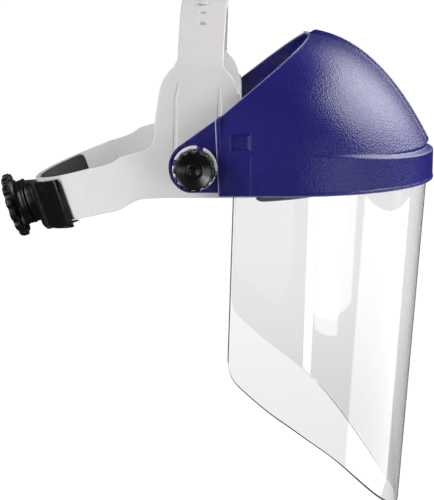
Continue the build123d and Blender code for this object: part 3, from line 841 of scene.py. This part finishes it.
def build_crown():
    grid = crown_grid()
    normal = grid_normals(grid)
    relief = crown_relief(grid)
    columns = grid.shape[1]
    inner = np.full(grid.shape[:2], -CROWN_WALL)
    for step, pull in ((0, 0.5), (1, 0.2)):
        inner[:, step] += pull
        inner[:, columns - 1 - step] += pull
        inner[step, :] += pull
    points, faces, _ = shell(grid, normal, relief, inner)
    edge_highlight = crown_edge_highlights(grid)
    points, faces = merge([(points, faces), both_sides(crown_tab())])
    obj = make_object("crown_shell", points, faces, blue, "visor", ["crown_protector"])
    painted_highlight = obj.data.attributes.new("edge_highlight", "FLOAT", "POINT")
    # Painted highlight along the ridge of the step on each side, standing in for light caught on its rounded
    # edge.
    lean = (STEP_FOOT - STEP_TOP[0]) / (STEP_TOP[1] - RIM_BOTTOM)
    at = points[:, 0] - STEP_FOOT + (points[:, 2] - RIM_BOTTOM) * lean
    proud = (np.abs(points[:, 1]) > CROWN_OUT - 1.2) & (np.abs(points[:, 1]) < CROWN_OUT + 0.5)
    values = 0.85 * (1 - smoothstep(0.35, 0.9, np.abs(at))) * proud
    values[:edge_highlight.size] = np.maximum(edge_highlight.ravel(), 0)
    painted_highlight.data.foreach_set("value", values)
    return obj


def crown_edge_highlights(grid):
    """Painted highlight on the outside, standing in for light caught on the rear edge and the lower lip;
    build_crown adds the step.
    """
    x, z = grid[..., 0], grid[..., 2]
    columns = grid.shape[1]
    painted_highlight = np.zeros(grid.shape[:2])
    above = smoothstep(26.0, 36.0, z)
    for step, amount in enumerate((1.0, 1.0, 0.9, 0.35)):
        painted_highlight[:, step] = amount * above[:, step]
        painted_highlight[:, columns - 1 - step] = amount * above[:, columns - 1 - step]
    for step, amount in enumerate((0.45, 0.45, 0.3)):
        painted_highlight[step, :] = np.maximum(painted_highlight[step, :], amount)
    return painted_highlight


# ---------------------------------------------------------------- window

def window_sweep():
    """Side view of the lower edge, from the rear corner to the chin, as (X, Z) points."""
    corners = [
        (window_low.x, WINDOW_CORNER), (22.4, -132.5), (28, -140.5), (46.5, -157), (68, -173),
        (93, -194), (122, -226.5), (131.5, -237.0), (137.0, WINDOW_BOTTOM),
    ]
    return smooth_line(corners, 2.0)


def window_rear(z):
    """Rear edge of the window: nearly vertical."""
    share = (WINDOW_TOP - z) / (WINDOW_TOP - WINDOW_CORNER)
    return WINDOW_REAR_TOP + (window_low.x - WINDOW_REAR_TOP) * share


def window_point(z, share):
    """A point at a share of the way from the rear edge to the nose, at a height."""
    half_width = WINDOW_OUT + WINDOW_SIDE_LEAN * (z - WINDOW_TOP)
    reach = WINDOW_OUT + WINDOW_FRONT_LEAN * (z - WINDOW_TOP)
    straight = WINDOW_CENTRE - window_rear(z)
    turn = np.linspace(0, math.pi / 2, 120)
    x = np.concatenate([[window_rear(z)], WINDOW_CENTRE + reach * np.sin(turn)])
    y = np.concatenate([[half_width], half_width * np.cos(turn)])
    along = np.concatenate([[0], np.cumsum(np.hypot(np.diff(x), np.diff(y)))])
    at = share * along[-1]
    return float(np.interp(at, along, x)), float(np.interp(at, along, y))


def window_bottom(share, sweep):
    """Height where the lower edge crosses a column."""
    low, high = WINDOW_BOTTOM, WINDOW_CORNER
    if share <= 0:
        return high
    for _ in range(26):
        z = (low + high) / 2
        edge_x = float(np.interp(-z, -sweep[:, 1], sweep[:, 0]))
        if window_point(z, share)[0] > edge_x:
            high = z
        else:
            low = z
    return (low + high) / 2


def build_window():
    sweep = window_sweep()
    half = [0, 0.0015, 0.004, 0.008, 0.014] + list(np.linspace(0.022, 1, 74))
    rows = [0, 0.0015, 0.004, 0.01] + list(np.linspace(0.02, 0.98, 60)) + [0.99, 0.996, 0.9985, 1]
    bottoms = [window_bottom(share, sweep) for share in half]
    grid = []
    for row in rows[::-1]:
        line = []
        for share, bottom in zip(half, bottoms):
            z = WINDOW_TOP + row * (bottom - WINDOW_TOP)
            x, y = window_point(z, share)
            line.append((x, -y, z))
        line += [(x, -y, z) for x, y, z in line[::-1][1:]]
        grid.append(line)
    grid = np.array(grid)
    normal = grid_normals(grid)
    outer = np.zeros(grid.shape[:2])
    outer[[0, -1], :] = -SHEET_EDGE_ROUNDING
    outer[:, [0, -1]] = -SHEET_EDGE_ROUNDING
    inner = np.full(grid.shape[:2], -WINDOW_WALL)
    inner[[0, -1], :] += SHEET_EDGE_ROUNDING
    inner[:, [0, -1]] += SHEET_EDGE_ROUNDING
    points, faces, edge_count = shell(grid, normal, outer, inner)
    obj = make_object("window_sheet", points, faces, [clear, edge_shade_paint], "visor", ["window"])
    # Painted shade: the cut edge faces, and the faces along the lower and rear edges of the right half facing
    # the camera, get the dark edge material.
    for polygon in obj.data.polygons[len(faces) - edge_count:]:
        polygon.material_index = 1
    lines, columns = grid.shape[:2]
    for polygon, face in zip(obj.data.polygons, faces):
        line, column = divmod(min(face) % (lines * columns), columns)
        if column < (columns - 1) / 2 and (line < 2 or column < 2):
            polygon.material_index = 1
    return obj


# ---------------------------------------------------------------- headband

def rear_depth(x, z):
    """Distance behind the rear frame's origin, for points given in side view."""
    return -((x - REAR_ORIGIN[0]) * REAR_FORWARD[0] + (z - REAR_ORIGIN[2]) * REAR_FORWARD[2])


def strap_arc(lift):
    """The overhead strap's arc: its radius, how far out it starts, the straight run from the fold
    to that start, and the start's turn from the top of the head."""
    radius = ARC_RADIUS + lift
    rise = ARC_FOOT - ARC_CENTRE_Z
    leave = math.sqrt(radius**2 - rise**2)
    return radius, leave, math.hypot(leave - FOLD_OUT, ARC_FOOT - FOLD_HEIGHT), math.atan2(leave, rise)


def side_path(v, lift):
    """(out, height, inward normal) up the side of the band and over the head; v is a height
    up to the fold and a length beyond it."""
    radius, leave, run, start_turn = strap_arc(lift)
    arc_start = FOLD_HEIGHT + run

    def raw(at):
        out = np.interp(at, [BAND_TOP, FOLD_HEIGHT, arc_start], [BAND_OUT, FOLD_OUT, leave])
        high = np.interp(at, [-500, FOLD_HEIGHT, arc_start], [-500, FOLD_HEIGHT, ARC_FOOT])
        turn = start_turn - np.maximum(at - arc_start, 0) / radius
        on_arc = at > arc_start
        out = np.where(on_arc, radius * np.sin(turn), out)
        high = np.where(on_arc, ARC_CENTRE_Z + radius * np.cos(turn), high)
        return np.stack([out, high], -1)

    shifts = np.linspace(-2.2, 2.2, 7)
    middle = np.mean([raw(v + s) for s in shifts], axis=0)
    ahead = np.mean([raw(v + s + 0.4) for s in shifts], axis=0)
    along = ahead - middle
    along /= np.linalg.norm(along, axis=-1, keepdims=True)
    inward = np.stack([-along[..., 1], along[..., 0]], -1)
    return middle[..., 0], middle[..., 1], inward


def strap_length(lift, own_turn):
    """Length v of a point of the overhead strap, by its turn towards its own side in degrees."""
    radius, _, run, start_turn = strap_arc(lift)
    return FOLD_HEIGHT + run + radius * (start_turn - math.radians(own_turn))


def place_band(path, v, depth):
    """Headband point from its path coordinate (0 at the brow, positive to the left), v and depth."""
    side = np.where(path >= 0, 1.0, -1.0)
    along = BAND_CENTRE + FRONT_LENGTH - np.abs(path)
    out_left, high_left, in_left = side_path(v, 0.0)
    out_right, high_right, in_right = side_path(v, RIGHT_LIFT)
    is_left = side > 0
    out = np.where(is_left, out_left, out_right)
    high = np.where(is_left, high_left, high_right)
    inward = np.where(is_left[:, None], in_left, in_right)
    r = out + inward[:, 0] * depth
    z = high + inward[:, 1] * depth
    turn = np.maximum(along - BAND_CENTRE, 0) / BAND_OUT
    x = np.where(along > BAND_CENTRE, BAND_CENTRE + (BAND_OUT - depth) * np.sin(turn), along)
    curve_in = (BAND_OUT - depth) * (1 - np.cos(turn)) * (1 - smoothstep(45, FOLD_HEIGHT, v))
    y = r - curve_in
    behind = np.clip(rear_depth(x, z), 0, REAR_REACH - 6)
    squeeze = np.sqrt(np.maximum(1 - (behind / (REAR_REACH - depth)) ** 2, 0.01))
    y = np.where((behind > 0) & (along < BAND_CENTRE), y * squeeze, y)
    return np.stack([x, side * y, z], 1)


def seam_corner(height):
    """Side view of a point on the seam, at a height in the rear frame."""
    point = REAR_ORIGIN - REAR_FORWARD * SEAM + REAR_UP * height
    return point[0], point[2]


def band_half(lift):
    """Outline of one half of the headband in side view, from the middle of the brow's lower edge
    round the arm, loop and strap to the middle of its upper edge."""
    front = BAND_CENTRE + FRONT_LENGTH
    low_seam, high_seam = seam_corner(-STRAP_HALF_HEIGHT), seam_corner(STRAP_HALF_HEIGHT)
    end = strap_length(lift, -math.degrees(math.asin(STRAP_LAP / (ARC_RADIUS + lift))))
    back_edge, front_edge = STRAP_BACK + 0.6, STRAP_FRONT + STRAP_SPREAD
    arm_top, loop_rear, rear_foot = (-32, 11.2), (-23.2, 45.6), (STRAP_BACK, 64.2)
    front_foot, hook_top = (STRAP_FRONT, 64), (26.1, 47.2)
    lower = smooth_line([(-20, BAND_BOTTOM), (-36, -20.4), (-48.6, -27.4), low_seam], 1.5)
    upper = smooth_line([high_seam, (-59.5, 0.7), (-52.8, 3.2), (-47.3, 6.9), (-38, 9.6), arm_top], 1.5)
    corner = smooth_line([arm_top, (-27.6, 14.6), (-25.9, 21), (-25.6, 30), loop_rear], 1.3)
    shoulder_rear = smooth_line([loop_rear, (-22.2, 50.6), (-20.0, 55.8), (-16.1, 61.2), rear_foot], 1.0)
    rise_rear = smooth_line([rear_foot, (STRAP_BACK + 0.3, 70), (back_edge, 90)], 2.0)
    tip_corners = [(back_edge, 90), (back_edge, end, 9), (front_edge, end, 9), (front_edge, 140)]
    tip = rounded(tip_corners, 9, steps=10)
    tip = np.vstack([straight_line(tip[i:i + 2], 2.0)[:-1] for i in range(len(tip) - 1)])
    drop = smooth_line([(front_edge, 140), (front_edge - 0.9, 100), front_foot], 2.0)
    shoulder_front = smooth_line(
        [front_foot, (18.4, 62.0), (21.4, 58.8), (23.9, 55.1), (25.7, 48.8), hook_top], 1.0)
    hook = smooth_line(
        [hook_top, (27.6, 46.2), (27.9, 44.0), (28.6, 38), (28.8, 20), (29.2, 14.5), (33, BAND_TOP)], 1.3)
    pieces = [
        straight_line([(front, BAND_BOTTOM), (-20, BAND_BOTTOM)], 3.0)[:-1], lower[:-1],
        straight_line([low_seam, high_seam], 2.0)[:-1], upper[:-1], corner[:-1], shoulder_rear[:-1],
        rise_rear[:-1], tip, drop[:-1], shoulder_front[:-1], hook[:-1],
        straight_line([(33, BAND_TOP), (front, BAND_TOP)], 3.0)[:-1],
    ]
    return np.vstack(pieces)


def on_path(side_view, side):
    """Side view to path coordinates, on the left (1) or the right (-1)."""
    line = np.array(side_view, float)
    return np.stack([side * (BAND_CENTRE + FRONT_LENGTH - line[:, 0]), line[:, 1]], 1)


def band_holes():
    """The two slits of each strap loop, and the row of peg holes in the right half of the strap."""
    rear_corners = [
        (-13.9, 4), (-12.1, 4), (-11.9, 38), (-12.3, 42.4),
        (-10.6, 52.9), (-11.0, 52.9), (-13.2, 42.6), (-13.4, 30),
    ]
    front_corners = [(14.1, 4), (16.6, 4), (15.9, 39.8), (15.1, 50.4), (14.7, 50.4), (14.1, 39.8)]
    slits = rounded(rear_corners, 0.5, closed=True), rounded(front_corners, 0.3, closed=True)
    holes = [on_path(closed_line(slit, 1.4), side) for side in (1, -1) for slit in slits]
    for turn in HOLE_TURNS:
        v = strap_length(RIGHT_LIFT, turn)
        holes.append(on_path(arc_line((STRAP_MIDDLE, v), 2.3, 0, 345, 24), -1))
    return holes


def band_thickness(v):
    """The moulding's wall at a height or length v: it thins from the band to the strap."""
    return BAND_WALL - (BAND_WALL - STRAP_WALL) * smoothstep(50, 66, v)


def strap_peg(turn):
    """A peg with a mushroom head, standing on the left strap half."""
    height = ARC_RADIUS
    profile = rounded([(0, height - 0.8), (2.0, height - 0.8), (2.0, height + 2.0), (3.1, height + 2.2, 0.3),
                       (3.1, height + 2.7), (1.6, height + 3.0), (0, height + 3.0)], 0.3)
    points, faces = lathe(profile, 32)
    angle = math.radians(turn)
    out = points[:, 2] * math.sin(angle) + points[:, 1] * math.cos(angle)
    up = points[:, 2] * math.cos(angle) - points[:, 1] * math.sin(angle)
    return np.stack([points[:, 0] + STRAP_MIDDLE, out, up + ARC_CENTRE_Z], 1), faces


def pivot_boss():
    """The raised seat round the pivot bolt on each side of the band."""
    profile = rounded([(0, 85.5), (8, 85.5), (8, 92), (0, 92)], 0.4)
    return stood_on_left(lathe(profile, 64))


def build_headband():
    right = on_path(band_half(RIGHT_LIFT), -1)
    left = on_path(band_half(0.0), 1)[::-1]
    outline = np.vstack([right[1:], left[1:]])
    body = plate([outline] + band_holes(), place_band, band_thickness, 2.8, 0.55)
    parts = [body, both_sides(pivot_boss())] + [strap_peg(turn) for turn in PEG_TURNS]
    points, faces = merge(parts)
    return make_object("headband_moulding", points, faces, band_plastic, "headgear",
                       ["headband"])


# ---------------------------------------------------------------- rear straps and ratchet

def place_rear(outward):
    """Placing on the rear wall: u is a length round the half ellipse, v a height, both in its frame."""
    def place(u, v, depth):
        angle = np.asarray(u) / REAR_MEAN_RADIUS
        out = outward - depth
        behind = (REAR_REACH - BAND_OUT + out) * np.sin(angle)
        return in_rear_frame(np.stack([behind, out * np.cos(angle), v], 1))
    return place


def turn_at(across, outward):
    """Length u on the rear wall where it is across millimetres from the middle plane."""
    return REAR_MEAN_RADIUS * math.acos(across / outward)


def build_rear_strap(name, outward, side):
    start = REAR_MEAN_RADIUS * math.asin(SEAM / REAR_REACH)
    end = turn_at(-44.0, outward)
    half = STRAP_HALF_HEIGHT
    corners = [(start, -half, 0.2), (end, -half, 5), (end, half, 5), (start, half, 0.2)]
    outline = rounded(corners, 0.2, closed=True)
    middle = turn_at(0.0, outward)
    slot = rounded([(middle - 38, -7), (middle + 38, -7), (middle + 38, 7), (middle - 38, 7)], 3, closed=True)
    loops = [closed_line(outline, 2.0), closed_line(slot, 1.6)]
    points, faces = plate(loops, place_rear(outward), REAR_STRAP_WALL, 2.4, 0.45)
    if side < 0:
        points, faces = mirrored((points, faces))
    obj = make_object(name, points, faces, rear_plastic, None)
    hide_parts("rear_strap_left" if side > 0 else "rear_strap_right")
    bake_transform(obj)
    return obj


def in_rear_frame(points):
    """From (behind, across, up) in the rear frame to the object's frame."""
    p = np.asarray(points, float)
    moved = [np.outer(-p[:, 0], REAR_FORWARD), np.outer(p[:, 1], ACROSS), np.outer(p[:, 2], REAR_UP)]
    return REAR_ORIGIN + moved[0] + moved[1] + moved[2]


def wall_depth(outward, across):
    """How far behind the rear frame's origin a wall lies, across millimetres from the middle."""
    return (REAR_REACH - BAND_OUT + outward) * math.sqrt(max(1 - (across / outward) ** 2, 0.0))


def housing_ring(across):
    """Cross-section of the ratchet's casing at one place across the nape."""
    at = abs(across)
    inside = wall_depth(BAND_OUT + 0.4, across)
    middle = CASE_DEPTH - (CASE_DEPTH - 83.0) * float(np.clip((at - 17.0) / 14.5, 0, 1))
    wing = wall_depth(BAND_OUT + 3.0, across)
    outside = wing + (middle - wing) * (1 - float(smoothstep(31.3, 33.2, at)))
    from_end = HOUSING_HALF_SPAN - at
    groove = 0.6 * (1 - float(smoothstep(2.7, 3.7, from_end)))
    collar = (1 - float(smoothstep(4.9, 6.1, from_end))) * (1 - groove)
    rounding = float(smoothstep(HOUSING_HALF_SPAN - 1.0, HOUSING_HALF_SPAN, at))
    outside += 1.1 * collar - 0.8 * rounding
    top, bottom = STRAP_HALF_HEIGHT - 1.6, -STRAP_HALF_HEIGHT - 4.2
    top -= 2.2 * (1 - float(smoothstep(17.0, 31.0, at)))
    ledge = -STRAP_HALF_HEIGHT - 1.5
    lip = inside - 4.0
    corners = [
        (inside, top, 0.3), (outside - 0.2, top, 1.0), (outside, top - 1.2, 1.6),
        (outside, bottom + 2.4, 2.0), (outside - 1.2, bottom, 1.2), (inside, bottom, 0.5),
        (inside, ledge, 0.3), (lip, ledge, 0.4), (lip, ledge + 1.1, 0.4), (inside, ledge + 1.1, 0.2),
    ]
    outline = rounded(corners, 0.5, closed=True)
    return in_rear_frame([(behind, across, up) for behind, up in outline])


def build_housing():
    half = HOUSING_HALF_SPAN
    close_to_end = [half, half - 0.3, half - 0.8]
    places = [-place for place in close_to_end] + list(np.linspace(1.2 - half, half - 1.2, 181))
    rings = [housing_ring(across) for across in places + close_to_end[::-1]]
    profile = [(0, 83), (14.6, 83), (15.4, 88.5, 1.5), (15.4, 91.4), (15.0, CASE_BACK), (0, CASE_BACK)]
    case_points, case_faces = lathe(rounded(profile, 0.5), 120)
    across, up, depth = case_points.T
    up = np.minimum(up, 13.6 - 0.3 * (CASE_BACK - depth))
    case = (in_rear_frame(np.stack([depth, across, up], 1)), case_faces)
    points, faces = merge([loft_rings(rings), case])
    return make_object("ratchet_casing", points, faces, ratchet_plastic, "nape_ratchet",
                       ["ratchet_housing"])


def build_cover():
    outward = BAND_OUT - 2 * REAR_STRAP_WALL - 0.5
    first, last = turn_at(COVER_HALF_SPAN, outward), turn_at(-COVER_HALF_SPAN, outward)
    half = STRAP_HALF_HEIGHT
    low, high = -half - 0.2, half - 0.6
    outline = rounded([(first, low, 5), (last, low, 5), (last, high, 5), (first, high, 5)], 5, 6, closed=True)
    screws = (-SCREW_OUT, SCREW_OUT)
    holes = [arc_line((turn_at(across, outward), 0), 1.5, 0, 340, 18) for across in screws]
    points, faces = plate([closed_line(outline, 2.0)] + holes, place_rear(outward), 1.6, 2.4, 0.4)
    return make_object("ratchet_inner_cover", points, faces, cover_plastic, "nape_ratchet",
                       ["ratchet_cover"])


def lobed(count, depth, sharpness, outer):
    """Radius with square notches between lobes, near the outer edge only."""
    def radius_of(angle, radius, height):
        phase = np.abs(((angle * count / (2 * math.pi)) % 1.0) - 0.5) * 2
        notch = smoothstep(1 - sharpness - 0.16, 1 - sharpness + 0.16, phase)
        reach = smoothstep(outer - depth - 1.6, outer - depth + 0.2, radius)
        return radius - depth * notch * reach * min(1.0, radius / outer)
    return radius_of


def build_ratchet_knob():
    rim = 22.3
    profile = rounded([
        (0, 92.5), (15.9, 92.5), (15.9, 93.5), (15.2, 93.9), (15.2, 94.5), (15.6, 94.9), (15.3, 97.0, 1.0),
        (15.9, 99.0, 2), (18.6, 100.5, 1.0), (rim, 100.8), (rim, 104.4), (21.7, 105.2), (17.2, 105.2),
        (15.6, 103.8, 1.0), (0, 103.7),
    ], 0.45, 4)
    points, faces = lathe(profile, GRIP_COUNT * 18, lobed(GRIP_COUNT, 2.4, 0.42, rim))
    placed = in_rear_frame(np.stack([points[:, 2], points[:, 0], points[:, 1]], 1))
    return make_object("ratchet_dial_knob", placed, faces, ratchet_plastic, "ratchet_dial",
                       ["ratchet_knob"])


# ---------------------------------------------------------------- side knobs

def build_side_knobs():
    foot, face = knob_low.y, knob_high.y
    grip = (knob_high.x - knob_low.x) / 2
    profile = rounded([
        (0, foot), (12.2, foot), (12.4, foot + 2.6), (grip, foot + 3.4), (grip, face - 1.6, 0.9),
        (grip - 0.8, face, 1.2), (11.3, face - 0.1, 0.6), (10.7, face - 0.8, 0.5), (6.0, face - 3.5, 0.8),
        (4.9, face - 3.8), (4.5, face - 2.4, 0.4), (4.0, face - 2.2, 0.5), (3.1, face - 2.3),
        (2.8, face - 3.0), (1.9, face - 3.1), (1.7, face - 4.0), (0, face - 4.1),
    ], 0.35, 4)

    def scalloped(angle, radius, height):
        phase = (angle * GRIP_COUNT / (2 * math.pi)) % 1.0
        notch = np.sqrt(np.clip(1 - ((phase - 0.5) / 0.27) ** 2, 0, 1))
        reach = smoothstep(10.8, 12.6, radius) * float(smoothstep(foot + 2.4, foot + 3.6, height))
        return radius - 1.15 * notch * reach

    left = stood_on_left(lathe(profile, GRIP_COUNT * 20, scalloped))
    for side, (points, faces) in (("left", left), ("right", mirrored(left))):
        make_object(f"side_knob_grip_{side}", points, faces, knob_plastic, f"{side}_knob",
                    [f"side_knob_{side}"])


# ---------------------------------------------------------------- brow pad

def build_brow_pad():
    """The folded sweatband: foam behind the brow, wrapped under the band's lower edge."""
    ends = math.acos((pad_low.x - BAND_CENTRE) / BAND_OUT)
    inner_out = BAND_OUT - BAND_WALL
    rings = []
    turns = np.linspace(-ends, ends, 150)
    for turn in turns:
        near_end = min(1.0, (ends - abs(turn)) * BAND_OUT / 6.0)
        full = math.sqrt(max(1 - (1 - near_end) ** 2, 0.0)) * 0.55 + 0.45
        soft = 0.22 * math.sin(turn * 41.0) + 0.15 * math.sin(turn * 23.0 + 1.1)
        foam = inner_out - (3.8 + soft) * full
        middle = (BAND_BOTTOM + BAND_TOP) / 2
        low = BAND_BOTTOM - 2.7 * full - 0.2
        corners = [
            (inner_out - 0.1, BAND_TOP - 0.6), (inner_out - 1.4, pad_high.z - 0.1),
            (foam + 0.7, BAND_TOP - 1.0), (foam, BAND_TOP - 6), (foam - 0.1, middle),
            (foam, BAND_BOTTOM + 5), (foam + 0.6, BAND_BOTTOM - 0.4), (inner_out - 0.6, low),
            (BAND_OUT + 0.1, low + 0.1), (BAND_OUT + 1.1 * full, BAND_BOTTOM + 0.6),
            (BAND_OUT + 1.1 * full, -13), (BAND_OUT + 0.8 * full, -9.6), (BAND_OUT + 0.08, -9.4),
            (BAND_OUT + 0.06, -14), (BAND_OUT + 0.06, BAND_BOTTOM - 0.06),
            (inner_out + 1, BAND_BOTTOM - 0.08), (inner_out - 0.06, BAND_BOTTOM), (inner_out - 0.06, middle),
        ]
        closed = resample_closed(np.array(smooth_line(corners + [corners[0]], 0.8)), 56)
        ring = [(BAND_CENTRE + r * math.cos(turn), r * math.sin(turn), z) for r, z in closed]
        rings.append(np.array(ring))
    points, faces = loft_rings(rings)
    pad = make_object("brow_sweatband", points, faces, fabric, "headgear", ["brow_pad"])
    return pad


def resample_closed(line, count):
    gap = np.linalg.norm(np.diff(line, axis=0), axis=1)
    along = np.concatenate([[0], np.cumsum(gap)])
    at = np.linspace(0, along[-1], count + 1)[:-1]
    return np.stack([np.interp(at, along, line[:, k]) for k in range(2)], 1)


# ---------------------------------------------------------------- carried-over CAD nodes

def dress(node, material, bevel=0.25):
    """Keeps a CAD node's shape, welds and softens its edges, and gives it a better material."""
    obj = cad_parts[node]
    obj.data.materials.clear()
    obj.data.materials.append(material)
    weld = obj.modifiers.new("weld", "WELD")
    weld.merge_threshold = 1e-6
    soft = obj.modifiers.new("soft_edges", "BEVEL")
    soft.width = bevel * MM
    soft.segments = 2
    soft.limit_method = "ANGLE"
    soft.angle_limit = math.radians(35)
    soft.harden_normals = False
    obj.modifiers.new("normals", "WEIGHTED_NORMAL").keep_sharp = True


def dress_nodes():
    for side in ("left", "right"):
        dress(f"pivot_bolt_{side}", zinc, 0.3)
        dress(f"friction_washer_{side}", nylon, 0.15)
        dress(f"detent_ring_{side}", ring_plastic, 0.35)
        dress(f"knob_insert_{side}", brass, 0.1)
    dress("cover_screws", steel, 0.15)
    dress("click_spring", steel, 0.1)
    dress("pinion", nylon, 0.1)
    dress("knob_screw", steel, 0.1)


# ---------------------------------------------------------------- stage, light and camera

def soft_box(name, place, aim, size, power):
    """A rectangular panel of light, seen only in what it lights and in reflections."""
    light = bpy.data.lights.new(name, "AREA")
    light.shape = "RECTANGLE"
    light.size, light.size_y = size
    light.energy = power
    obj = bpy.data.objects.new(name, light)
    bpy.context.scene.collection.objects.link(obj)
    obj.location = place
    obj.rotation_euler = (Vector(aim) - Vector(place)).to_track_quat("-Z", "Y").to_euler()
    obj.visible_camera = False
    return obj


def seen_directly(nodes, links):
    """Two outputs: 1 where the eye looks straight at a thing or through the clear window, and 1
    where a reflection shows it."""
    path = nodes.new("ShaderNodeLightPath")
    either = nodes.new("ShaderNodeMath")
    either.operation = "MAXIMUM"
    links.new(path.outputs["Is Camera Ray"], either.inputs[0])
    links.new(path.outputs["Is Transmission Ray"], either.inputs[1])
    return either.outputs[0], path.outputs["Is Glossy Ray"]


def build_world():
    """A white backdrop to look at; a dimmer studio for what it adds in light and reflections."""
    world = bpy.data.worlds.new("studio")
    bpy.context.scene.world = world
    world.use_nodes = True
    nodes, links = world.node_tree.nodes, world.node_tree.links
    seen, glossy = seen_directly(nodes, links)
    around = nodes.new("ShaderNodeMapRange")
    links.new(glossy, around.inputs[0])
    around.inputs[3].default_value = STUDIO_FILL
    around.inputs[4].default_value = STUDIO_REFLECTED
    level = nodes.new("ShaderNodeMix")
    links.new(seen, level.inputs[0])
    links.new(around.outputs[0], level.inputs[2])
    level.inputs[3].default_value = BACKDROP
    links.new(level.outputs[0], nodes["Background"].inputs["Strength"])
    nodes["Background"].inputs["Color"].default_value = (1, 1, 1, 1)


def build_floor():
    """A pale paper floor, lit from behind so that it looks as white as the backdrop."""
    paint = Paint("floor_paint", Roughness=0.9)
    paper = paint.ramp(paint.noise(900, 3), grey(0.80), grey(0.84))
    seen, glossy = seen_directly(paint.nodes, paint.links)
    unlit = paint.maths("MAXIMUM", seen, glossy)
    paint.set("Base Color", paint.mix(unlit, paper, grey(0.03)))
    paint.shader.inputs["Specular IOR Level"].default_value = 0.0
    paint.shader.inputs["Emission Color"].default_value = grey(1.0)
    paint.set("Emission Strength", paint.span(seen, 0, 1, 0.0, BACKDROP))
    size = 60.0
    mesh = bpy.data.meshes.new("floor")
    drop = cad_box[0].z - 0.45
    corners = [(-size, -size, drop), (size, -size, drop), (size, size, drop), (-size, size, drop)]
    mesh.from_pydata(corners, [], [[0, 1, 2, 3]])
    mesh.materials.append(paint.material)
    floor = bpy.data.objects.new("floor", mesh)
    bpy.context.scene.collection.objects.link(floor)


def build_camera():
    """Nearly square on to the wearer's right side, looking slightly down."""
    azimuth, elevation, distance = math.radians(1.2), math.radians(10.8), 1.05
    aim = Vector((0.01166, 0.0, -0.06895))
    level = math.cos(elevation)
    back = Vector((math.sin(azimuth) * level, -math.cos(azimuth) * level, math.sin(elevation)))
    camera = bpy.data.cameras.new("camera")
    camera.sensor_width = 36
    camera.lens = 108.9
    obj = bpy.data.objects.new("camera", camera)
    bpy.context.scene.collection.objects.link(obj)
    obj.location = aim + back * distance
    obj.rotation_mode = "QUATERNION"
    obj.rotation_quaternion = (-back).to_track_quat("-Z", "Y")
    bpy.context.scene.camera = obj


build_camera()
build_world()
build_floor()
# Name, place and aim in metres, width and height in metres, and power in watts
for name, place, aim, size, power in (
    ("key", (-1.05, -0.92, 0.10), (-0.02, 0, -0.03), (0.65, 1.1), 5.2),
    ("narrow_strip", (-0.68, -1.2, -0.05), (-0.06, 0, -0.02), (0.22, 1.0), 2.8),
    ("rear_panel", (-1.15, -0.72, 0.66), (-0.03, 0, 0), (0.8, 0.7), 10.5),
    ("low_panel", (0.73, -0.79, -0.20), (0.06, 0, -0.1), (0.66, 0.34), 1.3),
    ("side_panel", (1.06, 0.03, -0.44), (0.06, 0, -0.1), (1.05, 0.40), 2.5),
    ("high_panel", (1.0, 0.1, 0.66), (0.08, 0, 0.03), (1.35, 0.75), 13.5),
    ("front_panel", (0.95, 0.28, 0.60), (0.08, 0, 0.03), (1.9, 0.95), 12.6),
):
    soft_box(name, place, aim, size, power)
bpy.context.scene.view_settings.view_transform = "Standard"

build_crown()
build_window()
build_headband()
build_brow_pad()
build_rear_strap("rear_strap_band_left", BAND_OUT, 1)
build_rear_strap("rear_strap_band_right", BAND_OUT - REAR_STRAP_WALL - 0.1, -1)
build_housing()
build_cover()
build_ratchet_knob()
build_side_knobs()
dress_nodes()
